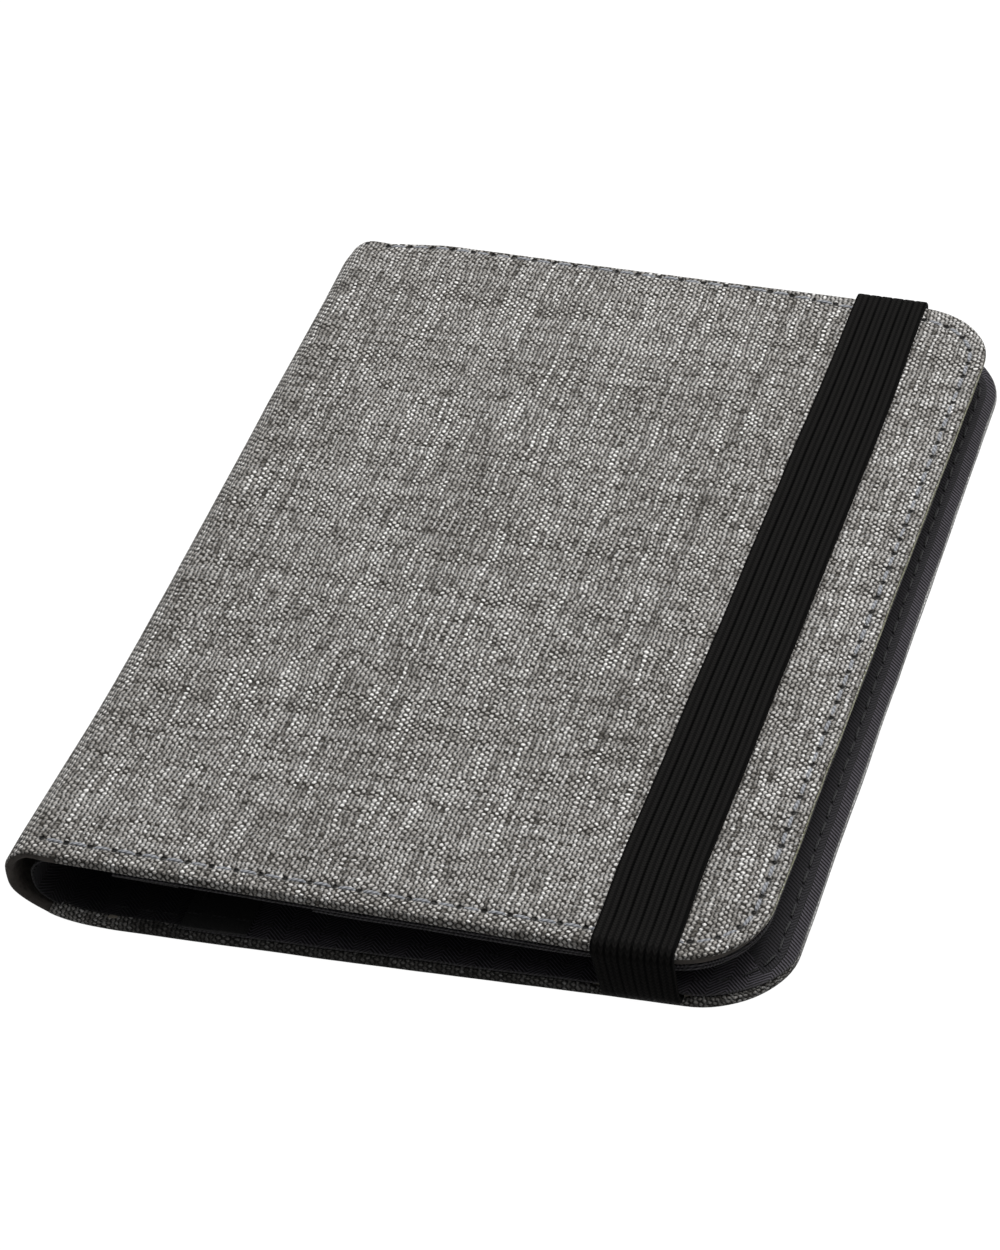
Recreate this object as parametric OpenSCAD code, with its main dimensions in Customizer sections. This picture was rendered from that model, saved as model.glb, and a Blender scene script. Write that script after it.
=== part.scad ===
// Passport folio: two fabric-covered covers on a soft spine, held shut by an elastic strap.
// The folio lies closed on its back cover. X runs from the spine to the fore-edge, Y runs
// along the spine and Z is up. The origin is the middle of the footprint, on the table.

/* [Covers] */
// Height of the covers, along the spine
cover_h = 145; // [120:1:200]
// Width of the front cover, from its crease to the fore-edge
cover_w = 97; // [90:1:140]
// Radius of the corners at the fore-edge
corner_r = 12; // [7:0.5:18]
// How far the back cover reaches past the front cover
back_overhang = 2.1; // [0.5:0.1:5]
// Height of the closed folio at the spine
spine_h = 12.2; // [10:0.1:15]
// Height of the closed folio at the fore-edge
fore_h = 7.6; // [5.8:0.1:10]

/* [Cover layers] */
// Thickness of the outer fabric
fabric_t = 0.5; // [0.4:0.05:0.7]
// Thickness of the foam under the fabric
foam_t = 0.4; // [0.4:0.05:0.6]
// Thickness of the stiffening board
board_t = 0.6; // [0.6:0.05:0.8]
// Thickness of the lining
lining_t = 0.25; // [0.15:0.05:0.4]
// Clearance between the board and the turned edge of the fabric
board_fit = 0.1; // [0.05:0.05:0.3]
// How far the board and the turned edge stay back from a crease
board_setback = 2.5; // [2:0.1:5]
// How far the lining and the pockets stay in from the cover's edge
lining_inset = 0.6; // [0.2:0.1:1]

/* [Spine] */
// Height of the fold in the middle of the spine
mid_fold_z = 6.4; // [5.5:0.1:7.5]
// How far that fold stands out past the upper crease
mid_fold_out = 2; // [1:0.1:3]
// How far the lower crease lies in from the upper crease
lower_crease_in = 8; // [6:0.1:10]
// Bow of the upper half of the spine
upper_bow = 0.5; // [0.1:0.05:0.6]
// Bow of the lower half of the spine
lower_bow = 0.9; // [0.3:0.05:1]
// Distance from a crease to the panel that turns on it
crease_gap = 0.65; // [0.6:0.05:0.8]
// Distance from a crease to the end of the spine's lining
lining_gap = 1; // [0.9:0.05:1.4]

/* [Pockets] */
// Thickness of one pocket panel
pocket_t = 0.3; // [0.2:0.05:0.4]
// Distance from the crease to the mouth of a passport sleeve
sleeve_mouth = 12.5; // [10:0.5:16]
// Width of the folded hem at the mouth of a passport sleeve
sleeve_hem_w = 9; // [6:0.5:10]
// Distance from the crease to the mouth of the card pocket
card_mouth = 39.5; // [32:0.5:50]
// Width of the folded hem at the mouth of the card pocket
card_hem_w = 4.5; // [3:0.5:8]
// Thickness that a hem adds
hem_t = 0.3; // [0.2:0.05:0.4]
// Distance from a pocket's mouth to the seam of its hem
hem_seam_in = 1.5; // [1:0.1:2.5]

/* [Strap] */
// Width of the elastic strap
strap_w = 10.4; // [6:0.2:16]
// Thickness of the elastic strap
strap_t = 1; // [0.6:0.05:1]
// Distance from the fore-edge to the middle of the strap
strap_in = 16.2; // [14:0.2:30]
// Gap between the strap and the front cover
strap_gap = 0.2; // [0.15:0.05:0.3]
// Inner radius of the strap where it turns over the cover's edge
strap_bend_r = 0.4; // [0.2:0.05:0.5]
// Length of the strap that is sewn into the back cover
tail_len = 11; // [8:1:18]
// Gap between the strap and its sewn-in ends
tail_gap = 0.15; // [0.1:0.05:0.3]

/* [Stitching] */
// Distance from the cover's edge to the seam
stitch_inset = 3; // [2.2:0.1:4]
// Distance from one stitch to the next
stitch_pitch = 3.3; // [2:0.1:4]
// Space between the ends of two stitches
stitch_space = 0.8; // [0.5:0.1:1.2]
// Width of the thread
thread_w = 0.5; // [0.3:0.05:0.5]
// Thickness of the thread
thread_t = 0.25; // [0.2:0.05:0.3]
// Clearance on each side of the thread in its groove
groove_fit = 0.1; // [0.1:0.05:0.2]
// How deep the top of the thread lies in its groove
thread_sink = 0.03; // [0.01:0.01:0.05]

/* [Hidden] */

heather = [0.52, 0.51, 0.49];
foam_white = [0.88, 0.88, 0.85];
board_grey = [0.62, 0.57, 0.5];
lining_dark = [0.2, 0.19, 0.22];
hem_dark = [0.13, 0.13, 0.14];
elastic_black = [0.07, 0.07, 0.07];
thread_blue = [0.5, 0.52, 0.57];

curve_fn = 96;
bow_steps = 10;
bead_steps = 12;
// Length by which a cutting shape runs past what it cuts
overcut = 1;
// Play between two bowed layers, whose facets don't line up
bow_play = 0.02;

// Heights inside a cover, counted from its outer face
foam_z = fabric_t;
board_z = foam_z + foam_t;
lining_z = board_z + board_t;
sleeve_z = lining_z + lining_t;
card_z = sleeve_z + pocket_t;
card_hem_z = card_z + pocket_t;

// The front cover slopes down from the spine to the fore-edge
slope = asin((spine_h - fore_h) / cover_w);
back_edge_x = cover_w * cos(slope) + back_overhang;
back_w = back_edge_x - lower_crease_in;

// The three creases of the spine, as [x, z], each in the middle of the outer fabric
upper_crease = [-fabric_t / 2 * sin(slope), spine_h - fabric_t / 2 * cos(slope)];
mid_crease = [-mid_fold_out, mid_fold_z];
lower_crease = [lower_crease_in, fabric_t / 2];

// A spine panel is an arc from crease a to crease b, bowed outwards
function chord(a, b) = norm(b - a);
function bow_radius(a, b, bow) = pow(chord(a, b), 2) / (8 * bow) + bow / 2;
function bow_half_angle(a, b, bow) = asin(chord(a, b) / 2 / bow_radius(a, b, bow));
function trim_share(a, b, bow, trim) =
    trim / (2 * bow_radius(a, b, bow) * bow_half_angle(a, b, bow) * PI / 180);
function bow_point(a, b, bow, out, share) =
    let (
        along = (b - a) / chord(a, b),
        outward = [-along[1], along[0]],
        radius = bow_radius(a, b, bow),
        turn = bow_half_angle(a, b, bow) * (2 * share - 1)
    )
    (a + b) / 2 - outward * (radius - bow)
        + (radius + out) * (outward * cos(turn) + along * sin(turn));
function bow_line(a, b, bow, out, from_share, to_share) =
    [for (i = [0 : bow_steps])
        bow_point(a, b, bow, out, from_share + (to_share - from_share) * i / bow_steps)];
function bow_heading(a, b, bow, share) =
    let (outward = bow_point(a, b, bow, 1, share) - bow_point(a, b, bow, 0, share))
    atan2(outward[1], outward[0]);
function reversed(points) = [for (i = [len(points) - 1 : -1 : 0]) points[i]];

// Half circle of the fabric's thickness round a crease, turning clockwise from a heading
function bead_line(crease, heading) =
    [for (i = [1 : bead_steps - 1])
        let (turn = heading - 180 * i / bead_steps)
        crease + fabric_t / 2 * [cos(turn), sin(turn)]];

spine_outer_line = bow_line(mid_crease, upper_crease, upper_bow, fabric_t / 2, 0, 1);
spine_left_x = min(concat([for (p = spine_outer_line) p[0]], [mid_crease[0] - fabric_t / 2]));
centre_x = (spine_left_x + back_edge_x) / 2;

// Strap and its ends
strap_x = cover_w - strap_in;
tail_z = fabric_t;
tail_top = tail_z + strap_t;
strap_foot_z = tail_top + tail_gap;
tail_x = strap_x * cos(slope)
    - (spine_h - strap_foot_z - strap_x * sin(slope)) * tan(slope);

// Seams
stitch_len = stitch_pitch - stitch_space;
seam_start = board_setback + stitch_len / 2;
groove_w = thread_w + 2 * groove_fit;
groove_depth = thread_t + thread_sink;
seam_r = corner_r - stitch_inset;
seam_arc = PI * seam_r / 2;
seam_side = cover_h - 2 * corner_r;
hem_seam_half = cover_h / 2 - stitch_inset - stitch_pitch;
function seam_run(w) = w - corner_r - seam_start;
function seam_count(w) = floor((2 * seam_run(w) + 2 * seam_arc + seam_side) / stitch_pitch);

// Place and heading of the seam at a distance along it, as [x, y, angle]
function seam_place(w, distance) =
    let (
        near_corner = distance - seam_run(w),
        side = near_corner - seam_arc,
        far_corner = side - seam_side,
        far_run = far_corner - seam_arc,
        near_turn = near_corner / seam_r * 180 / PI,
        far_turn = far_corner / seam_r * 180 / PI
    )
    near_corner < 0 ? [seam_start + distance, stitch_inset - cover_h / 2, 0]
    : side < 0 ? [w - corner_r + seam_r * sin(near_turn),
        -seam_side / 2 - seam_r * cos(near_turn), near_turn]
    : far_corner < 0 ? [w - stitch_inset, side - seam_side / 2, 90]
    : far_run < 0 ? [w - corner_r + seam_r * cos(far_turn),
        seam_side / 2 + seam_r * sin(far_turn), 90 + far_turn]
    : [w - corner_r - far_run, cover_h / 2 - stitch_inset, 180];

// Height of the innermost layer at a distance from the crease
function band_height(x, start, width, height) = x > start && x < start + width ? height : 0;
function back_face_z(x) = sleeve_z
    + (x > sleeve_mouth ? pocket_t : 0) + band_height(x, sleeve_mouth, sleeve_hem_w, hem_t);
function front_face_z(x) = back_face_z(x)
    + (x > card_mouth ? pocket_t : 0) + band_height(x, card_mouth, card_hem_w, hem_t);

// The folio's frame, with the middle of the footprint at the origin
module on_table() { translate([-centre_x, 0, 0]) children(); }

// A cover's frame: x from its crease, z from its outer face towards the inside of the folio
module in_back() { on_table() translate([lower_crease_in, 0, 0]) children(); }
module in_front_plane() { on_table() translate([0, 0, spine_h]) rotate([0, slope, 0]) children(); }
module in_front() { in_front_plane() mirror([0, 0, 1]) children(); }

// Outline of a cover of width w, moved in by inset and starting at from_x
module cover_outline(w, inset, from_x) {
    translate([from_x, inset - cover_h / 2])
        square([w - corner_r - from_x, cover_h - 2 * inset]);
    translate([from_x, corner_r - cover_h / 2])
        square([w - inset - from_x, cover_h - 2 * corner_r]);
    for (side = [-1, 1])
        translate([w - corner_r, side * (cover_h / 2 - corner_r)])
            circle(r = corner_r - inset, $fn = curve_fn);
}

// One flat layer of a cover
module layer(w, inset, from_x, z, thickness) {
    translate([0, 0, z])
        linear_extrude(thickness) cover_outline(w, inset, from_x);
}

// Outer fabric: the face, the edge turned over the board, and a groove for the seam
module shell(w) {
    groove_start = seam_start - stitch_len / 2 - groove_fit;
    difference() {
        union() {
            layer(w, 0, crease_gap, 0, fabric_t);
            linear_extrude(lining_z) difference() {
                cover_outline(w, 0, board_setback);
                cover_outline(w, fabric_t, board_setback - overcut);
            }
        }
        translate([0, 0, -overcut])
            linear_extrude(groove_depth + overcut) difference() {
                cover_outline(w, stitch_inset - groove_w / 2, groove_start);
                cover_outline(w, stitch_inset + groove_w / 2, groove_start - overcut);
            }
    }
}

module foam(w) { layer(w, fabric_t + board_fit, board_setback, foam_z, foam_t); }
module board(w) { layer(w, fabric_t + board_fit, board_setback, board_z, board_t); }
module lining(w) { layer(w, lining_inset, board_setback, lining_z, lining_t); }

module hem(mouth, width, z) {
    translate([mouth, lining_inset - cover_h / 2, z])
        cube([width, cover_h - 2 * lining_inset, hem_t]);
}

// One flattened stitch, its length along x and its lower face at z = 0
module stitch() {
    translate([-stitch_len / 2, -thread_w / 2, 0])
        cube([stitch_len, thread_w, thread_t]);
}

// Stitches in the groove of the outer face
module outer_seam(w) {
    for (i = [0 : seam_count(w)]) {
        place = seam_place(w, i * stitch_pitch);
        translate([place[0], place[1], thread_sink]) rotate([0, 0, place[2]]) stitch();
    }
}

// Stitches on the innermost layers, each as high as the layer that it crosses
module inner_seam(w, front) {
    for (i = [0 : seam_count(w)]) {
        place = seam_place(w, i * stitch_pitch);
        reach = abs(cos(place[2])) * stitch_len / 2;
        ends = [place[0] - reach, place[0] + reach];
        face_z = front ? max([for (x = ends) front_face_z(x)]) : max([for (x = ends) back_face_z(x)]);
        translate([place[0], place[1], face_z]) rotate([0, 0, place[2]]) stitch();
    }
}

// Straight seam along the mouth of a pocket
module mouth_seam(mouth, z) {
    count = floor(2 * hem_seam_half / stitch_pitch);
    for (i = [0 : count])
        translate([mouth + hem_seam_in, (i - count / 2) * stitch_pitch, z])
            rotate([0, 0, 90]) stitch();
}

// A space for each end of the strap, wider than the strap by fit on every side
module tail_spaces(fit) {
    for (side = [-1, 1])
        translate([tail_x, side * (cover_h - tail_len) / 2, tail_z + lining_z / 2])
            cube([strap_w + 2 * fit, tail_len + 2 * fit, lining_z], center = true);
}

// Back cover
module back_shell() {
    color(heather) difference() {
        in_back() shell(back_w);
        on_table() tail_spaces(board_fit);
    }
}

module back_foam() {
    color(foam_white) difference() {
        in_back() foam(back_w);
        on_table() tail_spaces(board_fit);
    }
}

module back_board() {
    color(board_grey) difference() {
        in_back() board(back_w);
        on_table() tail_spaces(board_fit);
    }
}

module back_lining() { color(lining_dark) in_back() lining(back_w); }

module back_sleeve() {
    color(lining_dark) in_back() layer(back_w, lining_inset, sleeve_mouth, sleeve_z, pocket_t);
}

module back_sleeve_hem() { color(hem_dark) in_back() hem(sleeve_mouth, sleeve_hem_w, card_z); }
module back_stitching() { color(thread_blue) in_back() outer_seam(back_w); }
module back_inner_stitching() { color(hem_dark) in_back() inner_seam(back_w, false); }
module back_hem_seam() { color(hem_dark) in_back() mouth_seam(sleeve_mouth, card_z + hem_t); }

// Sewn-in end of the strap, on the side of the given sign
module strap_tail(side) {
    outer_y = cover_h / 2 + strap_gap + strap_t;
    inner_y = cover_h / 2 - tail_len;
    color(elastic_black) on_table()
        translate([tail_x, side * (outer_y + inner_y) / 2, tail_z + strap_t / 2])
            cube([strap_w, outer_y - inner_y, strap_t], center = true);
}

module strap_tail_near() { strap_tail(-1); }
module strap_tail_far() { strap_tail(1); }

// Section of a spine panel's fabric, with a round bead on crease a, and on crease b unless
// the panel stops short of it by trim_b
module spine_fabric_section(a, b, bow, trim_b) {
    to_share = 1 - trim_share(a, b, bow, trim_b);
    polygon(concat(
        bow_line(a, b, bow, fabric_t / 2, 0, to_share),
        trim_b > 0 ? [] : bead_line(b, bow_heading(a, b, bow, 1)),
        reversed(bow_line(a, b, bow, -fabric_t / 2, 0, to_share)),
        bead_line(a, bow_heading(a, b, bow, 0) + 180)
    ));
}

// Section of a spine panel's lining, which lies against the inside of the fabric
module spine_lining_section(a, b, bow) {
    from_share = trim_share(a, b, bow, lining_gap);
    outer = -fabric_t / 2 - bow_play;
    polygon(concat(
        bow_line(a, b, bow, outer, from_share, 1 - from_share),
        reversed(bow_line(a, b, bow, outer - lining_t, from_share, 1 - from_share))
    ));
}

// A section in x and z, drawn out along the whole spine
module along_spine() {
    on_table() rotate([90, 0, 0]) linear_extrude(cover_h, center = true) children();
}

// Spine
module spine_lower_fabric() {
    color(heather) along_spine()
        spine_fabric_section(lower_crease, mid_crease, lower_bow, crease_gap);
}

module spine_lower_lining() {
    color(lining_dark) along_spine() spine_lining_section(lower_crease, mid_crease, lower_bow);
}

module spine_upper_fabric() {
    color(heather) along_spine() spine_fabric_section(mid_crease, upper_crease, upper_bow, 0);
}

module spine_upper_lining() {
    color(lining_dark) along_spine() spine_lining_section(mid_crease, upper_crease, upper_bow);
}

// Front cover
module front_shell() { color(heather) in_front() shell(cover_w); }
module front_foam() { color(foam_white) in_front() foam(cover_w); }
module front_board() { color(board_grey) in_front() board(cover_w); }
module front_lining() { color(lining_dark) in_front() lining(cover_w); }

module front_sleeve() {
    color(lining_dark) in_front() layer(cover_w, lining_inset, sleeve_mouth, sleeve_z, pocket_t);
}

module front_sleeve_hem() { color(hem_dark) in_front() hem(sleeve_mouth, sleeve_hem_w, card_z); }

module card_pocket() {
    color(lining_dark) in_front() layer(cover_w, lining_inset, card_mouth, card_z, pocket_t);
}

module card_pocket_hem() { color(hem_dark) in_front() hem(card_mouth, card_hem_w, card_hem_z); }
module front_stitching() { color(thread_blue) in_front() outer_seam(cover_w); }
module front_inner_stitching() { color(hem_dark) in_front() inner_seam(cover_w, true); }

module front_hem_seams() {
    color(hem_dark) in_front() {
        mouth_seam(sleeve_mouth, card_z + hem_t);
        mouth_seam(card_mouth, card_hem_z + hem_t);
    }
}

// Side view of the space inside the strap, grown by extra, with its upper corners rounded
module strap_window(extra, foot) {
    half = cover_h / 2 + strap_gap + extra;
    top = strap_gap + extra;
    bend = strap_bend_r + extra;
    translate([-half, -foot]) square([2 * half, foot + top - bend]);
    translate([bend - half, -foot]) square([2 * (half - bend), foot + top]);
    for (side = [-1, 1])
        translate([side * (half - bend), top - bend]) circle(r = bend, $fn = curve_fn);
}

// The strap follows the slope of the front cover and ends just above its sewn-in tails
module elastic_strap() {
    color(elastic_black) difference() {
        in_front_plane() translate([strap_x, 0, 0])
            rotate([90, 0, 90]) linear_extrude(strap_w, center = true) difference() {
                strap_window(strap_t, spine_h);
                strap_window(0, spine_h + overcut);
            }
        on_table() translate([tail_x, 0, strap_foot_z - spine_h])
            cube([2 * strap_w, 2 * cover_h, 2 * spine_h], center = true);
    }
}

back_shell();
back_foam();
back_board();
back_lining();
back_sleeve();
back_sleeve_hem();
back_stitching();
back_inner_stitching();
back_hem_seam();
strap_tail_near();
strap_tail_far();
spine_lower_fabric();
spine_lower_lining();
spine_upper_fabric();
spine_upper_lining();
front_shell();
front_foam();
front_board();
front_lining();
front_sleeve();
front_sleeve_hem();
card_pocket();
card_pocket_hem();
front_stitching();
front_inner_stitching();
front_hem_seams();
elastic_strap();
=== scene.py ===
"""A passport folio: two stiffened covers in heathered fabric, a soft spine and an elastic strap.

Each cloth part is cut flat, shaped in edit mode and then wrapped along a fold path that runs
from the fore-edge of the back cover, round the spine, to the fore-edge of the front cover.
Flat coordinates are the distance along that path, the place along the spine (mirrored) and
the depth from the outer face towards the inside of the folio. All lengths are in metres.
"""

import logging
import math
from dataclasses import dataclass, field
from enum import Enum
from typing import Any, Callable, Sequence

import bmesh
import bpy
import numpy as np
from mathutils import Matrix, Vector, geometry, noise


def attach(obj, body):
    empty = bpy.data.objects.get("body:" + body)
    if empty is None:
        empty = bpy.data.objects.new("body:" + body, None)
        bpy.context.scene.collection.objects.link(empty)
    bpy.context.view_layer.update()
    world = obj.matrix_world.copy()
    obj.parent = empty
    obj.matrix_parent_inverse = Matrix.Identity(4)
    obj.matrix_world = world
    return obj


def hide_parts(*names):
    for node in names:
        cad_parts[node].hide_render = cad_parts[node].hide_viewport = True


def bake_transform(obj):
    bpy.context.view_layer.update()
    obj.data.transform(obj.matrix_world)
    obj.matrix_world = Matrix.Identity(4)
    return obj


logging.basicConfig(level=logging.INFO, format="%(message)s")
log = logging.getLogger("folio")

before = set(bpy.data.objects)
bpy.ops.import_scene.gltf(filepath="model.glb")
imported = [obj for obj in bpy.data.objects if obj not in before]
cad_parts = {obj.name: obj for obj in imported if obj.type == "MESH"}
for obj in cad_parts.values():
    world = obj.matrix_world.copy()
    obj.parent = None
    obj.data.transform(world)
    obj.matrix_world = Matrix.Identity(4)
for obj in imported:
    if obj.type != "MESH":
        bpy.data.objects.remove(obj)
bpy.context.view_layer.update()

MM = 0.001
NEAR = 1e-6

# Covers
COVER_H = 145 * MM
HALF_H = COVER_H / 2
FRONT_W = 97 * MM
CORNER_R = 12 * MM
SLOPE = math.asin(4.6 / 97)
CENTRE_X = 48.3704 * MM
SPINE_H = 12.2 * MM
CREASE_IN = 8 * MM
BACK_W = FRONT_W * math.cos(SLOPE) + 2.1 * MM - CREASE_IN
CORE_T = 1.5 * MM
SPINE_EDGE_T = 1.2 * MM
SKEW = 0.9 * MM

# Seams; the stitches of the back cover are counted from BACK_COUNT on
SEAM_INSET = 3 * MM
SEAM_R = CORNER_R - SEAM_INSET
SEAM_START = 3.75 * MM
SEAM_SIDE = COVER_H - 2 * CORNER_R
SEAM_ARC = math.pi * SEAM_R / 2
PITCH = 3.3 * MM
BACK_COUNT = 200.0

# Layers inside the covers
LINING_T = 0.25 * MM
LINING_INSET = 0.7 * MM
POCKET_T = 0.3 * MM
POCKET_INSET = 0.35 * MM
HEM_EDGE_R = 0.13 * MM
LINING_EDGE_R = 0.07 * MM

# Strap
STRAP_X = 81.25 * MM
STRAP_W = 10.7 * MM
RIB = 0.86 * MM
FOOT_LEAN = 0.25 * MM

# Distance between cuts where cloth turns and over the spine
TURN_STEP = 0.35 * MM
SPINE_STEP = 0.4 * MM

Object = bpy.types.Object
Material = bpy.types.Material
Place = tuple[float, float, float]
Colour = tuple[float, float, float]
Range = tuple[float, float]
Stitch = tuple[float, float, float, float]


# ---------------------------------------------------------------- shader maths


class Term:
    """One number or colour in a shader, with Python's arithmetic on its socket."""

    def __init__(self, tree: "Tree", socket: bpy.types.NodeSocket) -> None:
        """Keep the tree and the socket that carries the value."""
        self.tree, self.socket = tree, socket

    def __add__(self, other: "Term | float") -> "Term":
        """Sum."""
        return self.tree.maths("ADD", self, other)

    def __sub__(self, other: "Term | float") -> "Term":
        """Difference."""
        return self.tree.maths("SUBTRACT", self, other)

    def __mul__(self, other: "Term | float") -> "Term":
        """Product."""
        return self.tree.maths("MULTIPLY", self, other)

    def __truediv__(self, other: "Term | float") -> "Term":
        """Quotient."""
        return self.tree.maths("DIVIDE", self, other)

    def __rsub__(self, other: float) -> "Term":
        """Difference from a number."""
        return self.tree.maths("SUBTRACT", other, self)

    def __pow__(self, other: float) -> "Term":
        """Power."""
        return self.tree.maths("POWER", self, other)

    __radd__ = __add__
    __rmul__ = __mul__


Value = Term | float | Sequence[float]


class Tree:
    """The node tree of one material, with the few calls that build it."""

    def __init__(self, name: str) -> None:
        """Make a material that holds nothing but its output node.

        Args:
            name: the material's name.
        """
        self.material = bpy.data.materials.new(name)
        self.material.use_nodes = True
        self.nodes = self.material.node_tree.nodes
        self.links = self.material.node_tree.links
        self.nodes.clear()
        self.out = self.nodes.new("ShaderNodeOutputMaterial")

    def node(self, kind: str, settings: dict[str, Any], values: dict[Any, Value], out: Any = 0) -> Term:
        """Add any node.

        Args:
            kind: the node's type, without the leading ShaderNode.
            settings: what the node is set to, before its sockets are filled; stops for a ramp.
            values: the number, colour or link for each named or numbered socket.
            out: the output socket that the result stands for.

        Returns:
            The output as a term.
        """
        made = self.nodes.new("ShaderNode" + kind)
        for key, value in settings.items():
            if key == "stops":
                ramp = made.color_ramp
                while len(ramp.elements) < len(value):
                    ramp.elements.new(0.5)
                for element, (place, colour) in zip(ramp.elements, value):
                    element.position, element.color = place, (*colour, 1)
            else:
                setattr(made, key, value)
        for key, value in values.items():
            socket = made.inputs[key]
            if isinstance(value, Term):
                self.links.new(value.socket, socket)
            elif isinstance(value, (int, float)):
                socket.default_value = value
            else:
                wide = len(socket.default_value)
                socket.default_value = (*value, 1)[:wide] if len(value) < wide else value
        return Term(self, made.outputs[out])

    def maths(self, operation: str, a: Value, b: Value = 0.0) -> Term:
        """Add one Math node on two values."""
        return self.node("Math", {"operation": operation}, {0: a, 1: b})

    def clamp(self, value: Term, low: float = 0.0, high: float = 1.0) -> Term:
        """Keep a value between two limits."""
        return self.node("Clamp", {}, {"Value": value, "Min": low, "Max": high})

    def step(self, value: Value, low: float, high: float, start: float = 0.0, end: float = 1.0) -> Term:
        """Map a value smoothly from low..high to start..end."""
        return self.node(
            "MapRange",
            {"interpolation_type": "SMOOTHSTEP"},
            {"Value": value, "From Min": low, "From Max": high, "To Min": start, "To Max": end},
        )

    def blend(self, share: Value, a: Value, b: Value, how: str = "MIX") -> Term:
        """Mix two colours by a share."""
        settings = {"data_type": "RGBA", "blend_type": how, "clamp_factor": True}
        return self.node("Mix", settings, {0: share, 6: a, 7: b}, 2)

    def number_mix(self, share: Value, a: Value, b: Value) -> Term:
        """Mix two numbers by a share."""
        return self.node("Mix", {"data_type": "FLOAT"}, {0: share, 2: a, 3: b}, 0)

    def noise(self, at: Term, scale: float, detail: float = 2.0, rough: float = 0.5) -> Term:
        """Smooth noise from 0 to 1 at a place."""
        values = {"Vector": at, "Scale": scale, "Detail": detail, "Roughness": rough}
        return self.node("TexNoise", {"noise_dimensions": "3D"}, values)

    def place(self, x: Value, y: Value, z: Value = 0.0) -> Term:
        """A vector from its parts."""
        return self.node("CombineXYZ", {}, {0: x, 1: y, 2: z})

    def parts(self, layer: str) -> tuple[Term, Term]:
        """The two coordinates of a UV map.

        Args:
            layer: the map's name.

        Returns:
            The coordinate across and the one along.
        """
        uv = self.node("UVMap", {"uv_map": layer}, {})
        split = self.node("SeparateXYZ", {}, {0: uv})
        return split, Term(self, split.socket.node.outputs[1])

    def object_place(self) -> Term:
        """Object coordinates."""
        return self.node("TexCoord", {}, {}, "Object")

    def surface(
        self, colour: Value, rough: Value, height: Term | None, depth: float, **fixed: Value
    ) -> Material:
        """Finish the material.

        Args:
            colour: the base colour.
            rough: the roughness.
            height: what the bump follows, or None.
            depth: how deep the bump is for a height of 1.
            fixed: other sockets of the shader, with underscores for spaces.

        Returns:
            The finished material.
        """
        values: dict[str, Value] = {"Base Color": colour, "Roughness": rough}
        if height is not None:
            bump = {"Strength": 1.0, "Distance": depth, "Height": height}
            values["Normal"] = self.node("Bump", {}, bump)
        values.update({key.replace("_", " "): value for key, value in fixed.items()})
        shader = self.node("BsdfPrincipled", {}, values)
        self.links.new(shader.socket, self.out.inputs["Surface"])
        return self.material


def grey(level: int, tint: tuple[int, int, int] = (0, 0, 0)) -> Colour:
    """A linear colour from an 8-bit grey and a tint added to it."""
    shares = [(level + t) / 255 for t in tint]
    return tuple(s / 12.92 if s <= 0.04045 else ((s + 0.055) / 1.055) ** 2.4 for s in shares)


# ---------------------------------------------------------------- finishes


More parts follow.
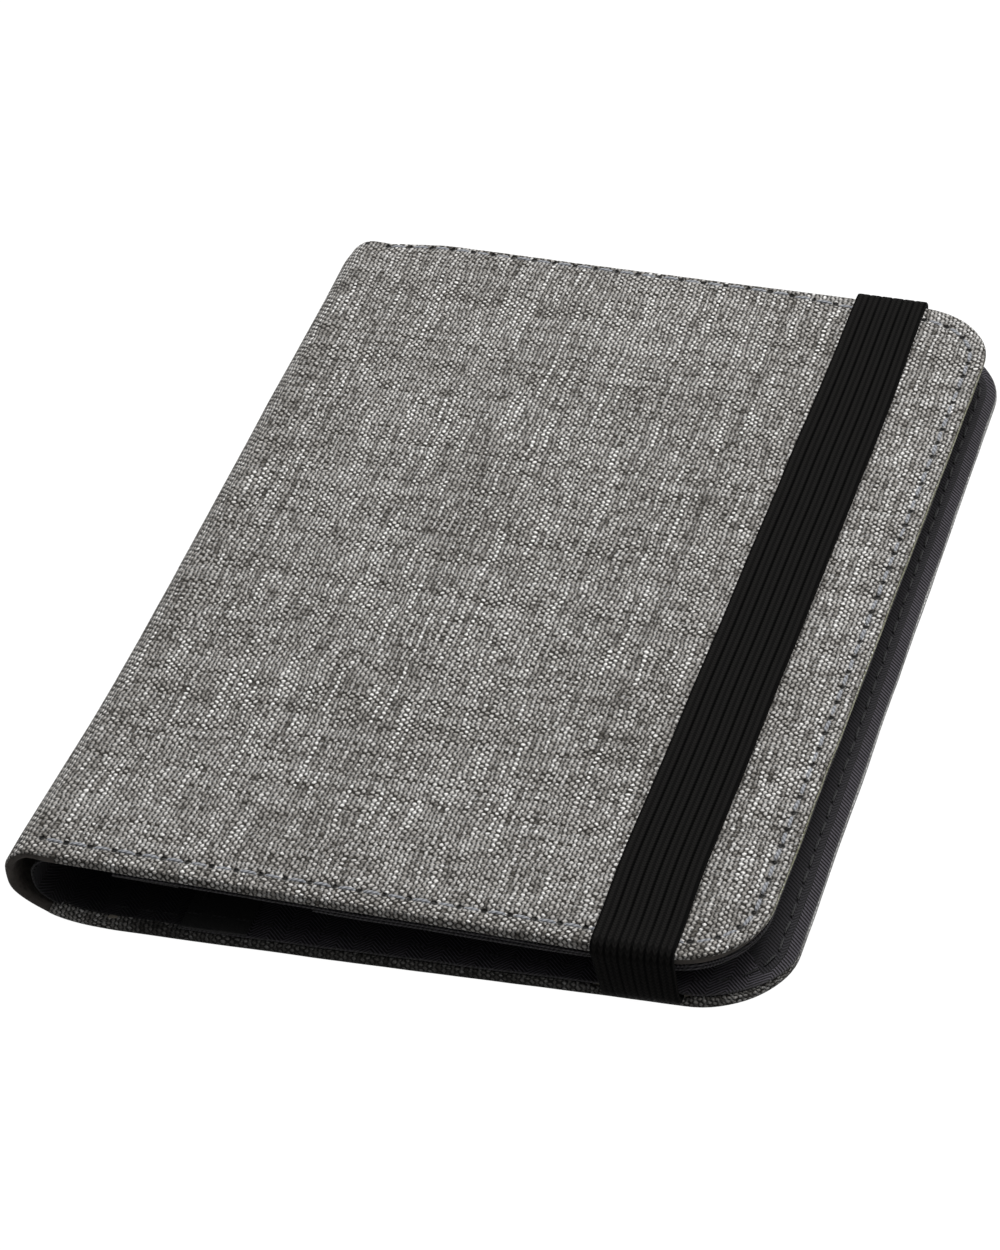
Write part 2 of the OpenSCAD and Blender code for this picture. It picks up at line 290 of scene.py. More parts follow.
@dataclass(frozen=True)
class Heather:
    """Plain weave of heathered light and dark grey yarns, with painted shade between them, and needle holes along the
    seam.

    The ranges of the seam are counted in stitches, and say over which of them a look fades in
    or out. The ranges in from the seam are in millimetres, and below zero is outside it.
    """

    across: float = 0.585 * MM
    along: float = 0.49 * MM
    streak_run: float = 6.5
    slub_run: float = 45.0
    light: Colour = grey(252, (0, -2, -5))
    middle: Colour = grey(184, (0, -4, -9))
    dark: Colour = grey(86, (1, -3, -9))
    # Painted shade in the gaps between the yarns, where the crowns dip
    gap_shade: Colour = grey(24, (2, 0, -3))
    # Darker olive for the front cover's fore-edge rim: painted shade of the weakly lit edge, with an olive tint
    edge_shade: Colour = grey(128, (2, 2, -24))
    # Pale colour laid on the back cover's fore-edge rim: a painted highlight
    fore: Colour = grey(225)
    # Dark colour of the painted shade along the back cover's near edge and inside the needle holes
    shade_colour: Colour = grey(10)
    relief: float = 0.2 * MM
    hole_depth: float = 1.8
    hole_rim: Range = (0.52, 0.24)
    edge_shade_rim: Range = (-2.12, -2.2)
    edge_shade_in: Range = (27.5, 30.0)
    edge_shade_out: Range = (66.5, 64.0)
    fore_highlight_rim: Range = (-2.1, -2.3)
    fore_in: Range = (BACK_COUNT + 26, BACK_COUNT + 29)
    fore_out: Range = (BACK_COUNT + 67.5, BACK_COUNT + 65)
    shade_rim: Range = (-1.2, -1.8)
    shade_in: Range = (BACK_COUNT - 1, BACK_COUNT + 1)
    shade_fade: tuple[float, ...] = (BACK_COUNT + 14, BACK_COUNT + 24, 0.72, 0.3)

    def yarn(self, tree: Tree, index: Term, run: Term, seed: float) -> Term:
        """Tone of a yarn along its run, from 0 to 1.

        Args:
            tree: the material's tree.
            index: the number of the yarn.
            run: the distance along it, in yarns.
            seed: what sets this set of yarns apart.

        Returns:
            The tone.
        """
        streaks = tree.noise(tree.place(index * 5.37 + seed, run / self.streak_run), 1.0, 3.0, 0.6)
        own = tree.node("TexWhiteNoise", {"noise_dimensions": "1D"}, {"W": index * 1.7 + seed})
        slub = tree.noise(tree.place(index * 3.11 + seed, run / self.slub_run), 1.0, 1.0)
        return streaks + (own - 0.5) * 0.2 + tree.step(slub, 0.64, 0.7) * 0.42

    def edges(self, tree: Tree, cloth: Term) -> tuple[Term, Term]:
        """Paint shade along the covers' edges, a highlight along the back cover's fore-edge and shade in the needle
        holes, and open the holes.

        Args:
            tree: the material's tree.
            cloth: the colour of the woven cloth.

        Returns:
            The finished colour, and a share that is 1 in the middle of a needle hole.
        """
        p, t = tree.parts("seam")
        hole = tree.maths("SQRT", (tree.maths("FRACT", p) - 0.5) ** 2.0 * (PITCH / MM) ** 2 + t * t)
        open_hole = tree.step(hole, *self.hole_rim)
        # Painted shade: the front cover's fore-edge rim turns a darker olive
        edge_shade = tree.step(t, *self.edge_shade_rim) * tree.step(p, *self.edge_shade_in) * tree.step(p, *self.edge_shade_out)
        edged = tree.blend(edge_shade * 0.7, cloth, self.edge_shade)
        # Painted highlight: the back cover's fore-edge rim is paled
        fore = tree.step(p, *self.fore_in) * tree.step(p, *self.fore_out)
        edged = tree.blend(fore * tree.step(t, *self.fore_highlight_rim) * 0.35, edged, self.fore)
        # Painted shade along the back cover's near edge, strongest by the spine
        beside = tree.step(p, *self.shade_in) * tree.step(t, *self.shade_rim)
        shade = beside * (1 - fore) * tree.step(p, *self.shade_fade)
        edged = tree.blend(shade, edged, self.shade_colour)
        # The needle holes are painted dark: painted shade inside them
        return tree.blend(open_hole * 0.94, edged, self.shade_colour), open_hole

    def material(self) -> Material:
        """Build the material.

        Returns:
            The woven cloth, with painted shade and a painted highlight at its edges, pierced along the seam.
        """
        tree = Tree("heather")
        x, y = tree.parts("cloth")
        at = tree.place(x, y)
        sway, lean = tree.noise(at, 160.0, 1.0) - 0.5, tree.noise(tree.place(y, x, 3.0), 190.0, 1.0) - 0.5
        jitter, wobble = tree.noise(at, 1000.0, 1.0) - 0.5, tree.noise(tree.place(y, x, 7.0), 1150.0, 1.0) - 0.5
        u = x / self.across + sway * 1.8 + jitter * 0.75
        v = y / self.along + lean * 1.8 + wobble * 0.75
        i, j = tree.maths("FLOOR", u + 0.5), tree.maths("FLOOR", v + 0.5)
        weft_up = tree.maths("FRACT", (i + j) * 0.5) * 2
        warp, weft = (self.yarn(tree, i, v, 0.0) - 0.5) * 0.8, (self.yarn(tree, j, u, 71.3) - 0.5) * 1.4
        tone = tree.number_mix(weft_up, warp, weft)
        slant, counter = tree.maths("COSINE", (u + v) * math.pi), tree.maths("COSINE", (v - u) * math.pi)
        columns, lines = tree.maths("COSINE", u * (2 * math.pi)), tree.maths("COSINE", v * (2 * math.pi))
        height = (slant * 0.95 + counter * 0.68 + columns * 0.95 + lines * 0.4) * 0.25 + 0.45
        fibres = tree.noise(at, 5200.0, 1.0)
        broad = tree.noise(at, 42.0, 2.0)
        cell = tree.node("TexWhiteNoise", {"noise_dimensions": "2D"}, {"Vector": tree.place(i, j)})
        level = tone * 2.7 + 0.51 + (broad - 0.5) * 0.35 + (fibres - 0.5) * 0.45 + (cell - 0.5) * 0.22
        stops = [(0.0, self.dark), (0.5, self.middle), (1.0, self.light)]
        colour = tree.node("ValToRGB", {"stops": stops}, {"Fac": level})
        # Where the yarns dip between their crowns, the colour turns to the painted gap shade
        crown = tree.step(height + (fibres - 0.5) * 0.16, 0.06, 0.8)
        final, open_hole = self.edges(tree, tree.blend(crown, self.gap_shade, colour))
        relief = height - open_hole * self.hole_depth
        return tree.surface(
            final, 0.92, relief, self.relief, Sheen_Weight=0.08, Sheen_Roughness=0.5, Specular_IOR_Level=0.2
        )


@dataclass(frozen=True)
class Herringbone:
    """Fine dark twill in herringbone columns, for the lining and the pockets."""

    name: str
    ground: Colour
    raised: Colour
    edge: Colour = grey(72, (1, 0, 0))
    column: float = 2.3 * MM
    twill: float = 0.6 * MM
    relief: float = 0.07 * MM

    def material(self) -> Material:
        """Build the material.

        Returns:
            The twill, paler where its edge is frayed.
        """
        tree = Tree(self.name)
        x, y = tree.parts("cloth")
        wander = tree.noise(tree.place(x, y), 220.0, 1.0) - 0.5
        column = x / self.column
        side = tree.maths("PINGPONG", column, 1.0) * (self.column / self.twill)
        phase = tree.maths("FRACT", y / self.twill - side + wander * 0.35)
        ridge = tree.maths("SINE", phase * math.pi)
        threads = tree.noise(tree.place(x / 3, y), 5200.0, 1.0)
        broad = tree.noise(tree.place(x, y), 55.0, 2.0)
        share = tree.clamp(tree.step(ridge, 0.55, 1.0) * 0.95 + (threads - 0.5) * 0.5 + (broad - 0.5) * 0.35)
        inward, _ = tree.parts("rim")
        frayed = tree.step(inward + (threads - 0.5) * 0.3, 0.2, 0.02) * 0.5
        colour = tree.blend(frayed, tree.blend(share, self.ground, self.raised), self.edge)
        rough, height = tree.clamp(0.78 + (threads - 0.5) * 0.2), ridge + threads * 0.4
        return tree.surface(colour, rough, height, self.relief, Sheen_Weight=0.06, Specular_IOR_Level=0.25)


@dataclass(frozen=True)
class Elastic:
    """Black knitted elastic with lengthwise ribs."""

    rib: float = RIB
    # Colours of the ribs' crests and of the grooves: a painted highlight and painted shade on the black elastic
    cord: Colour = grey(25, (1, 0, -1))
    groove: Colour = grey(1)

    def material(self) -> Material:
        """Build the material.

        Returns:
            The ribbed elastic.
        """
        tree = Tree("elastic")
        x, y = tree.parts("cloth")
        place = x / self.rib
        across = tree.maths("SINE", tree.maths("FRACT", place) * math.pi)
        pair = tree.step(tree.maths("COSINE", place * math.pi), -0.6, -1.0)
        lean = tree.maths("PINGPONG", place, 0.5)
        knit = tree.maths("SINE", (y / (0.5 * MM) + lean * 1.6) * (2 * math.pi)) * 0.5 + 0.5
        fuzz = tree.noise(tree.place(x, y), 3800.0, 2.0)
        # Crests painted light and grooves dark: painted highlight and painted shade
        ridge = tree.step(across, 0.25, 1.0)
        ridge = ridge + (1 - ridge) * pair * 0.3
        share = tree.clamp(ridge * (knit * 0.75 + 0.55) + (fuzz - 0.5) * 0.5)
        colour = tree.blend(share, self.groove, self.cord)
        height = across * 0.5 + knit * 0.35 + fuzz * 0.3
        return tree.surface(colour, tree.clamp(0.72 + fuzz * 0.2), height, 0.09 * MM, Specular_IOR_Level=0.06)


@dataclass(frozen=True)
class Thread:
    """Twisted sewing thread."""

    name: str
    colour: Colour
    shadow: Colour

    def material(self) -> Material:
        """Build the material.

        Returns:
            The thread.
        """
        tree = Tree(self.name)
        x, y = tree.parts("UVMap")
        twist = tree.maths("SINE", (x * 2 + y * 5) * (2 * math.pi)) * 0.5 + 0.5
        fuzz = tree.noise(tree.object_place(), 6000.0, 2.0)
        share = tree.clamp(twist * 0.8 + (fuzz - 0.5) * 0.5)
        colour = tree.blend(share, self.shadow, self.colour)
        return tree.surface(colour, tree.clamp(0.55 + fuzz * 0.25), twist + fuzz * 0.3, 0.05 * MM, Sheen_Weight=0.1)


@dataclass(frozen=True)
class Filling:
    """Foam with open cells or pressed greyboard, by its grain."""

    name: str
    dark: Colour
    pale: Colour
    grain: float
    relief: float

    def material(self) -> Material:
        """Build the material.

        Returns:
            The foam or the board.
        """
        tree = Tree(self.name)
        at = tree.object_place()
        cells = tree.node("TexVoronoi", {"feature": "SMOOTH_F1"}, {"Vector": at, "Scale": self.grain})
        fibres = tree.noise(at, self.grain * 1.7, 4.0, 0.6)
        share = tree.clamp(cells * 0.7 + fibres * 0.6)
        colour = tree.blend(share, self.dark, self.pale)
        return tree.surface(colour, tree.clamp(0.8 + fibres * 0.15), cells + fibres * 0.5, self.relief)


def made(finish: Any) -> Any:
    """A field for a finish's material, which is built when the finishes are."""
    return field(default_factory=finish.material)


@dataclass
class Finishes:
    """All the finishes of the folio, each made once."""

    heather: Material = made(Heather())
    # The dark back of the cloth, also laid on turned-in faces as painted shade
    backing: Material = made(Filling("backing", grey(4, (3, 1, 0)), grey(70, (9, 3, -2)), 1300.0, 0.1 * MM))
    lining: Material = made(Herringbone("lining", grey(11, (0, -1, 1)), grey(50, (0, -2, 3)), grey(36)))
    pocket: Material = made(Herringbone("pocket", grey(3), grey(84, (0, -4, 4))))
    hem: Material = made(Herringbone("hem", grey(17), grey(40), column=9 * MM, twill=0.33 * MM))
    elastic: Material = made(Elastic())
    outer_thread: Material = made(Thread("outer_thread", grey(182, (-3, 0, 6)), grey(100, (-2, 0, 6))))
    inner_thread: Material = made(Thread("inner_thread", grey(30, (0, -1, 2)), grey(14)))
    foam: Material = made(Filling("foam", grey(190), grey(232, (0, 0, -6)), 1900.0, 0.08 * MM))
    board: Material = made(Filling("board", grey(118, (6, 0, -10)), grey(168, (8, 0, -14)), 900.0, 0.03 * MM))


# ---------------------------------------------------------------- the bench


class Kind(Enum):
    """What is selected in edit mode."""

    VERTS = (True, False, False)
    EDGES = (False, True, False)
    FACES = (False, False, True)


class Bench:
    """One piece on the bench: it starts as a block and is shaped in edit mode."""

    def __init__(self, name: str, low: Place, high: Place) -> None:
        """Put a block on the bench and open it for editing.

        Args:
            name: the piece's name.
            low: the lowest corner.
            high: the highest corner.
        """
        bpy.ops.object.select_all(action="DESELECT")
        centre = [(a + b) / 2 for a, b in zip(low, high)]
        size = [b - a for a, b in zip(low, high)]
        bpy.ops.mesh.primitive_cube_add(size=1, location=centre)
        self.obj = bpy.context.object
        self.obj.scale = size
        bpy.ops.object.transform_apply(location=True, rotation=True, scale=True)
        self.obj.name = self.obj.data.name = name
        bpy.ops.object.mode_set(mode="EDIT")

    def close(self) -> Object:
        """Leave edit mode.

        Returns:
            The piece.
        """
        bpy.ops.object.mode_set(mode="OBJECT")
        return self.obj

    def pick(self, kind: Kind, test: Callable[[Any], bool]) -> None:
        """Select every vertex, edge or face that passes a test, and nothing else.

        Args:
            kind: what is looked at.
            test: says whether one of them is selected.
        """
        bpy.context.tool_settings.mesh_select_mode = kind.value
        bpy.ops.mesh.select_all(action="DESELECT")
        mesh = bmesh.from_edit_mesh(self.obj.data)
        for item in getattr(mesh, kind.name.lower()):
            if test(item):
                item.select_set(True)
        bmesh.update_edit_mesh(self.obj.data)

    def bevel(self, test: Callable[[Any], bool], radius: float, segments: int) -> None:
        """Round every edge that passes a test."""
        self.pick(Kind.EDGES, test)
        bpy.ops.mesh.bevel(offset=radius, segments=segments, profile=0.5, affect="EDGES")

    def cut(self, axis: int, places: Sequence[float]) -> None:
        """Cut through the whole piece at places along an axis.

        Args:
            axis: 0, 1 or 2 for X, Y or Z.
            places: where to cut along it.
        """
        normal = [float(a == axis) for a in range(3)]
        for place in places:
            bpy.ops.mesh.select_all(action="SELECT")
            bpy.ops.mesh.bisect(plane_co=[place * n for n in normal], plane_no=normal)

    def trim(self, at: float, keep_above: bool) -> None:
        """Cut the piece off across its length and leave that end open."""
        bpy.ops.mesh.select_all(action="SELECT")
        bpy.ops.mesh.bisect(
            plane_co=(at, 0, 0), plane_no=(1, 0, 0), clear_inner=keep_above, clear_outer=not keep_above
        )


def is_level(edge: Any, axis: int) -> bool:
    """Whether an edge keeps its place along an axis."""
    return abs(edge.verts[0].co[axis] - edge.verts[1].co[axis]) < NEAR


def is_at(edge: Any, x: float) -> bool:
    """Whether both ends of an edge lie at a place along X."""
    return all(abs(vertex.co.x - x) < NEAR for vertex in edge.verts)


def is_broad(face: Any, way: int) -> bool:
    """Whether a face is a large one that looks up, for 1, or down, for -1."""
    return face.normal.z * way > 0.99 and face.calc_area() > 1e-4


def even(a: float, b: float, step: float) -> list[float]:
    """Places between two limits, in whichever order, about a step apart, without the limits.

    Args:
        a: one limit.
        b: the other limit.
        step: about how far apart the places are.

    Returns:
        The places, from the lowest up.
    """
    low, high = min(a, b), max(a, b)
    count = max(1, round((high - low) / step))
    return [low + (high - low) * i / count for i in range(1, count)]


def points(obj: Object) -> np.ndarray:
    """The piece's vertices as rows of an array.

    Args:
        obj: the piece.

    Returns:
        One row of three coordinates for each vertex.
    """
    flat = np.empty(len(obj.data.vertices) * 3)
    obj.data.vertices.foreach_get("co", flat)
    return flat.reshape(-1, 3)


def put_points(obj: Object, rows: np.ndarray) -> None:
    """Move the piece's vertices to the rows of an array."""
    obj.data.vertices.foreach_set("co", rows.ravel())
    obj.data.update()


def map_cloth(obj: Object, name: str, places: np.ndarray) -> None:
    """Give the piece a UV map with one place for each vertex.

    Args:
        obj: the piece.
        name: the map's name.
        places: the place of each vertex on the cloth.
    """
    layer = obj.data.uv_layers.get(name) or obj.data.uv_layers.new(name=name)
    corner = np.empty(len(obj.data.loops), dtype=np.int32)
    obj.data.loops.foreach_get("vertex_index", corner)
    layer.uv.foreach_set("vector", places[corner].astype(np.float32).ravel())


def ripple(rows: np.ndarray, size: float, seed: float) -> np.ndarray:
    """Smooth noise from -1 to 1 at each row, with features of a given size."""
    return np.array([noise.noise(Vector(r) / size + Vector((seed, seed * 1.7, 0))) for r in rows])


def ease(share: np.ndarray) -> np.ndarray:
    """Turn a rising share into a smooth step from 0 to 1."""
    held = np.clip(share, 0, 1)
    return held * held * (3 - 2 * held)

def bell(share: np.ndarray) -> np.ndarray:
    """A smooth bump that is 1 at a share of 0."""
    return np.exp(-(share ** 2))


def strap_press(x: np.ndarray, y: np.ndarray) -> np.ndarray:
    """How firmly the strap's sewn ends press at places of the back cover.

    Args:
        x: distances from the upper crease.
        y: places along the spine.

    Returns:
        The pressure, from 0 to 1.
    """
    beside = np.abs(x - STRAP_X * math.cos(SLOPE) - FOOT_LEAN) - STRAP_W / 2
    inward = HALF_H - np.abs(y)
    return ease(1 - beside / (1.8 * MM)) * ease((13 * MM - inward) / (4 * MM))


def only(obj: Object) -> None:
    """Make the piece the only one that is selected, and the active one.

    Args:
        obj: the piece.
    """
    bpy.ops.object.select_all(action="DESELECT")
    obj.select_set(True)
    bpy.context.view_layer.objects.active = obj


def apply(obj: Object, kind: str, **settings: Any) -> None:
    """Add a modifier and apply it.

    Args:
        obj: the piece.
        kind: the modifier's type.
        settings: what the modifier is set to.
    """
    only(obj)
    modifier = obj.modifiers.new(kind.lower(), kind)
    for key, value in settings.items():
        setattr(modifier, key, value)
    bpy.ops.object.modifier_apply(modifier=modifier.name)


def smooth(obj: Object, angle: float) -> None:
    """Shade smooth, but keep edges sharper than an angle in degrees."""
    only(obj)
    bpy.ops.object.shade_smooth_by_angle(angle=math.radians(angle))


def note(obj: Object) -> Object:
    """Log how many faces a finished piece has, and pass it on."""
    log.info("%s: %d faces", obj.name, len(obj.data.polygons))
    return obj


def dress(obj: Object, *materials: Material) -> None:
    """Give the piece its material, and a second one for its back if there is one.

    Args:
        obj: the piece.
        materials: its material, and that of its back.
    """
    obj.data.materials.clear()
    for material in materials:
        obj.data.materials.append(material)


# ---------------------------------------------------------------- fold paths


@dataclass(frozen=True)
class Knot:
    """A point of a fold path: its place, its heading in degrees and how far its handles reach."""

    x: float
    z: float
    heading: float
    before: float
    after: float


@dataclass
class FoldPath:
    """A line in a plane along which flat pieces are wrapped.

    The shifts push the spine in towards the fore-edge. Each has a length, a share of the cover's
    half length at which it starts, and the share over which it grows.
    """

    name: str
    knots: list[Knot]
    upright: bool = False
    steps: int = 64
    bow: float = 0.93 * MM
    bow_fade: float = 45 * MM
    shifts: tuple[Place, ...] = ((0.9 * MM, -1.0, 0.52), (0.7 * MM, 0.35, 0.6), (0.5 * MM, 0.94, 0.06))
    shy: float = 1.25 * MM

    def spot(self, x: float, z: float) -> Vector:
        """A point of the path's plane in space."""
        return Vector((0, x, z)) if self.upright else Vector((x - CENTRE_X, 0, z))

    def __post_init__(self) -> None:
        """Draw the curve and measure how far along it each knot lies."""
        bpy.ops.object.select_all(action="DESELECT")
        bpy.ops.curve.primitive_bezier_curve_add(location=(0, 0, 0))
        self.curve = bpy.context.object
        self.curve.name = self.name
        self.curve.data.resolution_u = self.steps
        self.curve.data.twist_mode = "MINIMUM"
        spline = self.curve.data.splines[0]
        spline.bezier_points.add(len(self.knots) - 2)
        handles = []
        for point, knot in zip(spline.bezier_points, self.knots):
            turn = math.radians(knot.heading)
            ahead = self.spot(math.cos(turn), math.sin(turn)) - self.spot(0, 0)
            at = self.spot(knot.x, knot.z)
            point.handle_left_type = point.handle_right_type = "FREE"
            back, on = at - ahead * knot.before, at + ahead * knot.after
            point.co, point.handle_left, point.handle_right = at, back, on
            handles.append((back, at, on))
        self.at = [0.0]
        for (_, a, out), (inn, b, _) in zip(handles, handles[1:]):
            line = geometry.interpolate_bezier(a, out, inn, b, self.steps + 1)
            self.at.append(self.at[-1] + sum((q - p).length for p, q in zip(line, line[1:])))

    def wrap(self, obj: Object) -> None:
        """Wrap a flat piece along the path.

        The folio's own paths also let the spine bow inwards, set the front cover askew and draw
        the spine's end in a little.

        Args:
            obj: the flat piece.
        """
        s = points(obj)[:, 0]
        apply(obj, "CURVE", object=self.curve, deform_axis="POS_X")
        if self.upright:
            return
        low, top, end = self.at[1], self.at[5], self.at[6]
        rows = points(obj)
        y = rows[:, 1] / HALF_H
        bow = self.bow * (1 - y * y)
        for length, start, share in self.shifts:
            bow = bow + length * ease((y - start) / share)
        rows[:, 0] += bow * ease((s - low) / (top - low)) * ease((top + self.bow_fade - s) / self.bow_fade)
        rows[:, 0] += SKEW * y * np.clip((s - top) / (end - top), 0, 1)
        on_spine = ease((s - self.at[2]) / (self.at[3] - self.at[2])) * ease((top + 12 * MM - s) / (11 * MM))
        rows[:, 1] -= self.shy * on_spine * ease((y - 0.75) / 0.25)
        put_points(obj, rows)

    def clear(self) -> None:
        """Take the curve away once every piece is wrapped."""
        bpy.data.objects.remove(self.curve)


def on_front(u: float, depth: float) -> tuple[float, float]:
    """Place of a point of the front cover in the folio's section, from its crease."""
    return (
        u * math.cos(SLOPE) - depth * math.sin(SLOPE),
        SPINE_H - u * math.sin(SLOPE) - depth * math.cos(SLOPE),
    )


def outer_path() -> FoldPath:
    """The outer face of the fabric.

    Returns:
        The path.
    """
    tilt = -math.degrees(SLOPE)
    near, far = on_front(1.4 * MM, 0), on_front(FRONT_W, 0)
    return FoldPath("outer_path", [
        Knot(BACK_W + CREASE_IN, 0, 180, 0, 20 * MM),
        Knot(11.5 * MM, 0.3 * MM, 177, 8 * MM, 3 * MM),
        Knot(2.6 * MM, 1.85 * MM, 153, 2.6 * MM, 2.2 * MM),
        Knot(-2.3 * MM, 6.3 * MM, 98, 2.0 * MM, 0.8 * MM),
        Knot(-2.42 * MM, 8.7 * MM, 86, 0.8 * MM, 1.8 * MM),
        Knot(*near, tilt, 1.7 * MM, 20 * MM),
        Knot(*far, tilt, 20 * MM, 0),
    ])


def lining_path() -> FoldPath:
    """The outer face of the lining, which cuts the corners of the spine.

    Returns:
        The path.
    """
    tilt = -math.degrees(SLOPE)
    near, far = on_front(4.2 * MM, CORE_T), on_front(FRONT_W, CORE_T)
    return FoldPath("lining_path", [
        Knot(BACK_W + CREASE_IN, CORE_T, 180, 0, 20 * MM),
        Knot(11.5 * MM, 1.8 * MM, 177, 8 * MM, 2.6 * MM),
        Knot(4.3 * MM, 3.0 * MM, 150, 2.4 * MM, 1.8 * MM),
        Knot(1.0 * MM, 6.4 * MM, 98, 1.8 * MM, 0.7 * MM),
        Knot(0.9 * MM, 8.2 * MM, 87, 0.7 * MM, 0.9 * MM),
        Knot(*near, tilt, 1.8 * MM, 20 * MM),
        Knot(*far, tilt, 20 * MM, 0),
    ])


class Fold(Enum):
    """The three creases, in millimetres.

    Each has its two bodies, a point, a direction, and where along that direction the fabric
    and the lining turn.
    """

    LOWER = ("spine_lower", "back_cover", (8.0, 0.25), (0.966, -0.26), (-2.2, 2.2), (-3.3, 3.0))
    MIDDLE = ("spine_lower", "spine_upper", (-2.0, 6.4), (-0.326, 0.946), (-2.2, 0.9), (-5.0, -0.3))
    UPPER = ("spine_upper", "front_cover", (-0.012, 11.95), (0.831, 0.556), (-1.0, 1.3), (0.4, 3.9))

    def turn(self, obj: Object, lining: bool = False) -> None:
        """Bake a wrapped piece's transform into its mesh.

        Args:
            obj: the wrapped piece.
            lining: not used.
        """
        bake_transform(obj)


# ---------------------------------------------------------------- covers


@dataclass(frozen=True)
class Cover:
    """One cover, laid flat: its width and where its crease and fore-edge lie on a path."""

    name: str
    width: float
    fore: float
    inward: int

    @property
    def straight(self) -> float:
        """Distance from the crease at which the rounded corners start."""
        return self.width - CORNER_R

    def along(self, u: float) -> float:
        """Path distance of a point at u from the crease."""
        return self.fore - self.inward * (self.width - u)

    def from_crease(self, s: np.ndarray) -> np.ndarray:
        """Distance from the crease of points at path distances s."""
        return self.width - self.inward * (self.fore - s)

    def edge_frame(self, u: np.ndarray, y: np.ndarray) -> tuple[np.ndarray, np.ndarray, np.ndarray]:
        """Nearest point of the corners' core, direction outwards and distance in from the edge.

        Args:
            u: distances from the crease.
            y: places along the spine.

        Returns:
            Core points, unit directions and distances, one row for each point.
        """
        core_y = np.clip(y, CORNER_R - HALF_H, HALF_H - CORNER_R)
        core = np.stack([np.minimum(u, self.straight), core_y], 1)
        reach = np.stack([u, y], 1) - core
        long = np.linalg.norm(reach, axis=1)
        out = reach / np.maximum(long, 1e-9)[:, None]
        return core, out, CORNER_R - long

    @staticmethod
    def thinned(z: np.ndarray, depth: np.ndarray, out: np.ndarray) -> np.ndarray:
        """Heights in the flat piece, pressed thinner along the fore-edge."""
        return z * (1 - 0.42 * ease(1 - depth / (2.6 * MM)) * np.clip(out[:, 0], 0, 1) ** 4)

    def seam_drift(self, u: np.ndarray, y: np.ndarray) -> tuple[np.ndarray, np.ndarray]:
        """How far the seam has wandered out from its even line, towards the fore-edge and the far end."""
        outward = 0.6 * MM * ease((u - self.straight) / (7 * MM))
        return outward, 2.0 * MM * np.where(y > 0, ease((self.straight - u) / (25 * MM)), 0)

    def seam_map(self, u: np.ndarray, y: np.ndarray) -> tuple[np.ndarray, np.ndarray]:
        """Distance along the seam from its first stitch, and distance in from the seam.

        Args:
            u: distances from the crease.
            y: places along the spine, in the folio's frame.

        Returns:
            The two distances for each point.
        """
        du, dy = self.seam_drift(u, y)
        u, y = u - du, y - dy
        _, out, depth = self.edge_frame(u, y)
        run = self.straight - SEAM_START
        turn = np.arctan2(out[:, 0], -out[:, 1])
        near_corner = run + turn * SEAM_R
        fore = run + SEAM_ARC + y + SEAM_SIDE / 2
        far_corner = run + SEAM_ARC + SEAM_SIDE + (turn - math.pi / 2) * SEAM_R
        far_edge = run + 2 * SEAM_ARC + SEAM_SIDE + (self.straight - u)
        past_straight = np.where(np.abs(y) < HALF_H - CORNER_R, fore, np.where(y < 0, near_corner, far_corner))
        along = np.where(u > self.straight, past_straight, np.where(y < 0, u - SEAM_START, far_edge))
        return along, depth - SEAM_INSET

    def seam_places(self) -> list[Place]:
        """Place and heading of every stitch of the seam, as u, y and an angle.

        Returns:
            One place for each stitch, from the spine at the near end round to the far end.
        """
        run, half = self.straight - SEAM_START, SEAM_SIDE / 2
        places = []
        for i in range(int((2 * run + 2 * SEAM_ARC + SEAM_SIDE) / PITCH) + 1):
            d = i * PITCH
            if d < run:
                places.append((SEAM_START + d, SEAM_INSET - HALF_H, 0.0))
            elif d < run + SEAM_ARC:
                a = (d - run) / SEAM_R
                places.append((self.straight + SEAM_R * math.sin(a), -half - SEAM_R * math.cos(a), a))
            elif d < run + SEAM_ARC + SEAM_SIDE:
                places.append((self.width - SEAM_INSET, d - run - SEAM_ARC - half, math.pi / 2))
            elif d < run + 2 * SEAM_ARC + SEAM_SIDE:
                a = (d - run - SEAM_ARC - SEAM_SIDE) / SEAM_R
                places.append((self.straight + SEAM_R * math.cos(a), half + SEAM_R * math.sin(a), math.pi / 2 + a))
            else:
                places.append((self.straight - (d - run - 2 * SEAM_ARC - SEAM_SIDE), HALF_H - SEAM_INSET, math.pi))
        drifts = [self.seam_drift(u, y) for u, y, _ in places]
        return [(u + float(du), y + float(dy), a) for (u, y, a), (du, dy) in zip(places, drifts)]


@dataclass
class Spots:
    """Where the vertices of a flat skin lie, one number or row for each of them.

    They are the distance from the crease, the place along the spine, the depth, the nearest
    point of the corners' core, the direction outwards, the distance in from the edge, the
    distance along the seam and the distance in from the seam.
    """

    u: np.ndarray
    y: np.ndarray
    h: np.ndarray
    core: np.ndarray
    out: np.ndarray
    depth: np.ndarray
    along: np.ndarray
    off: np.ndarray


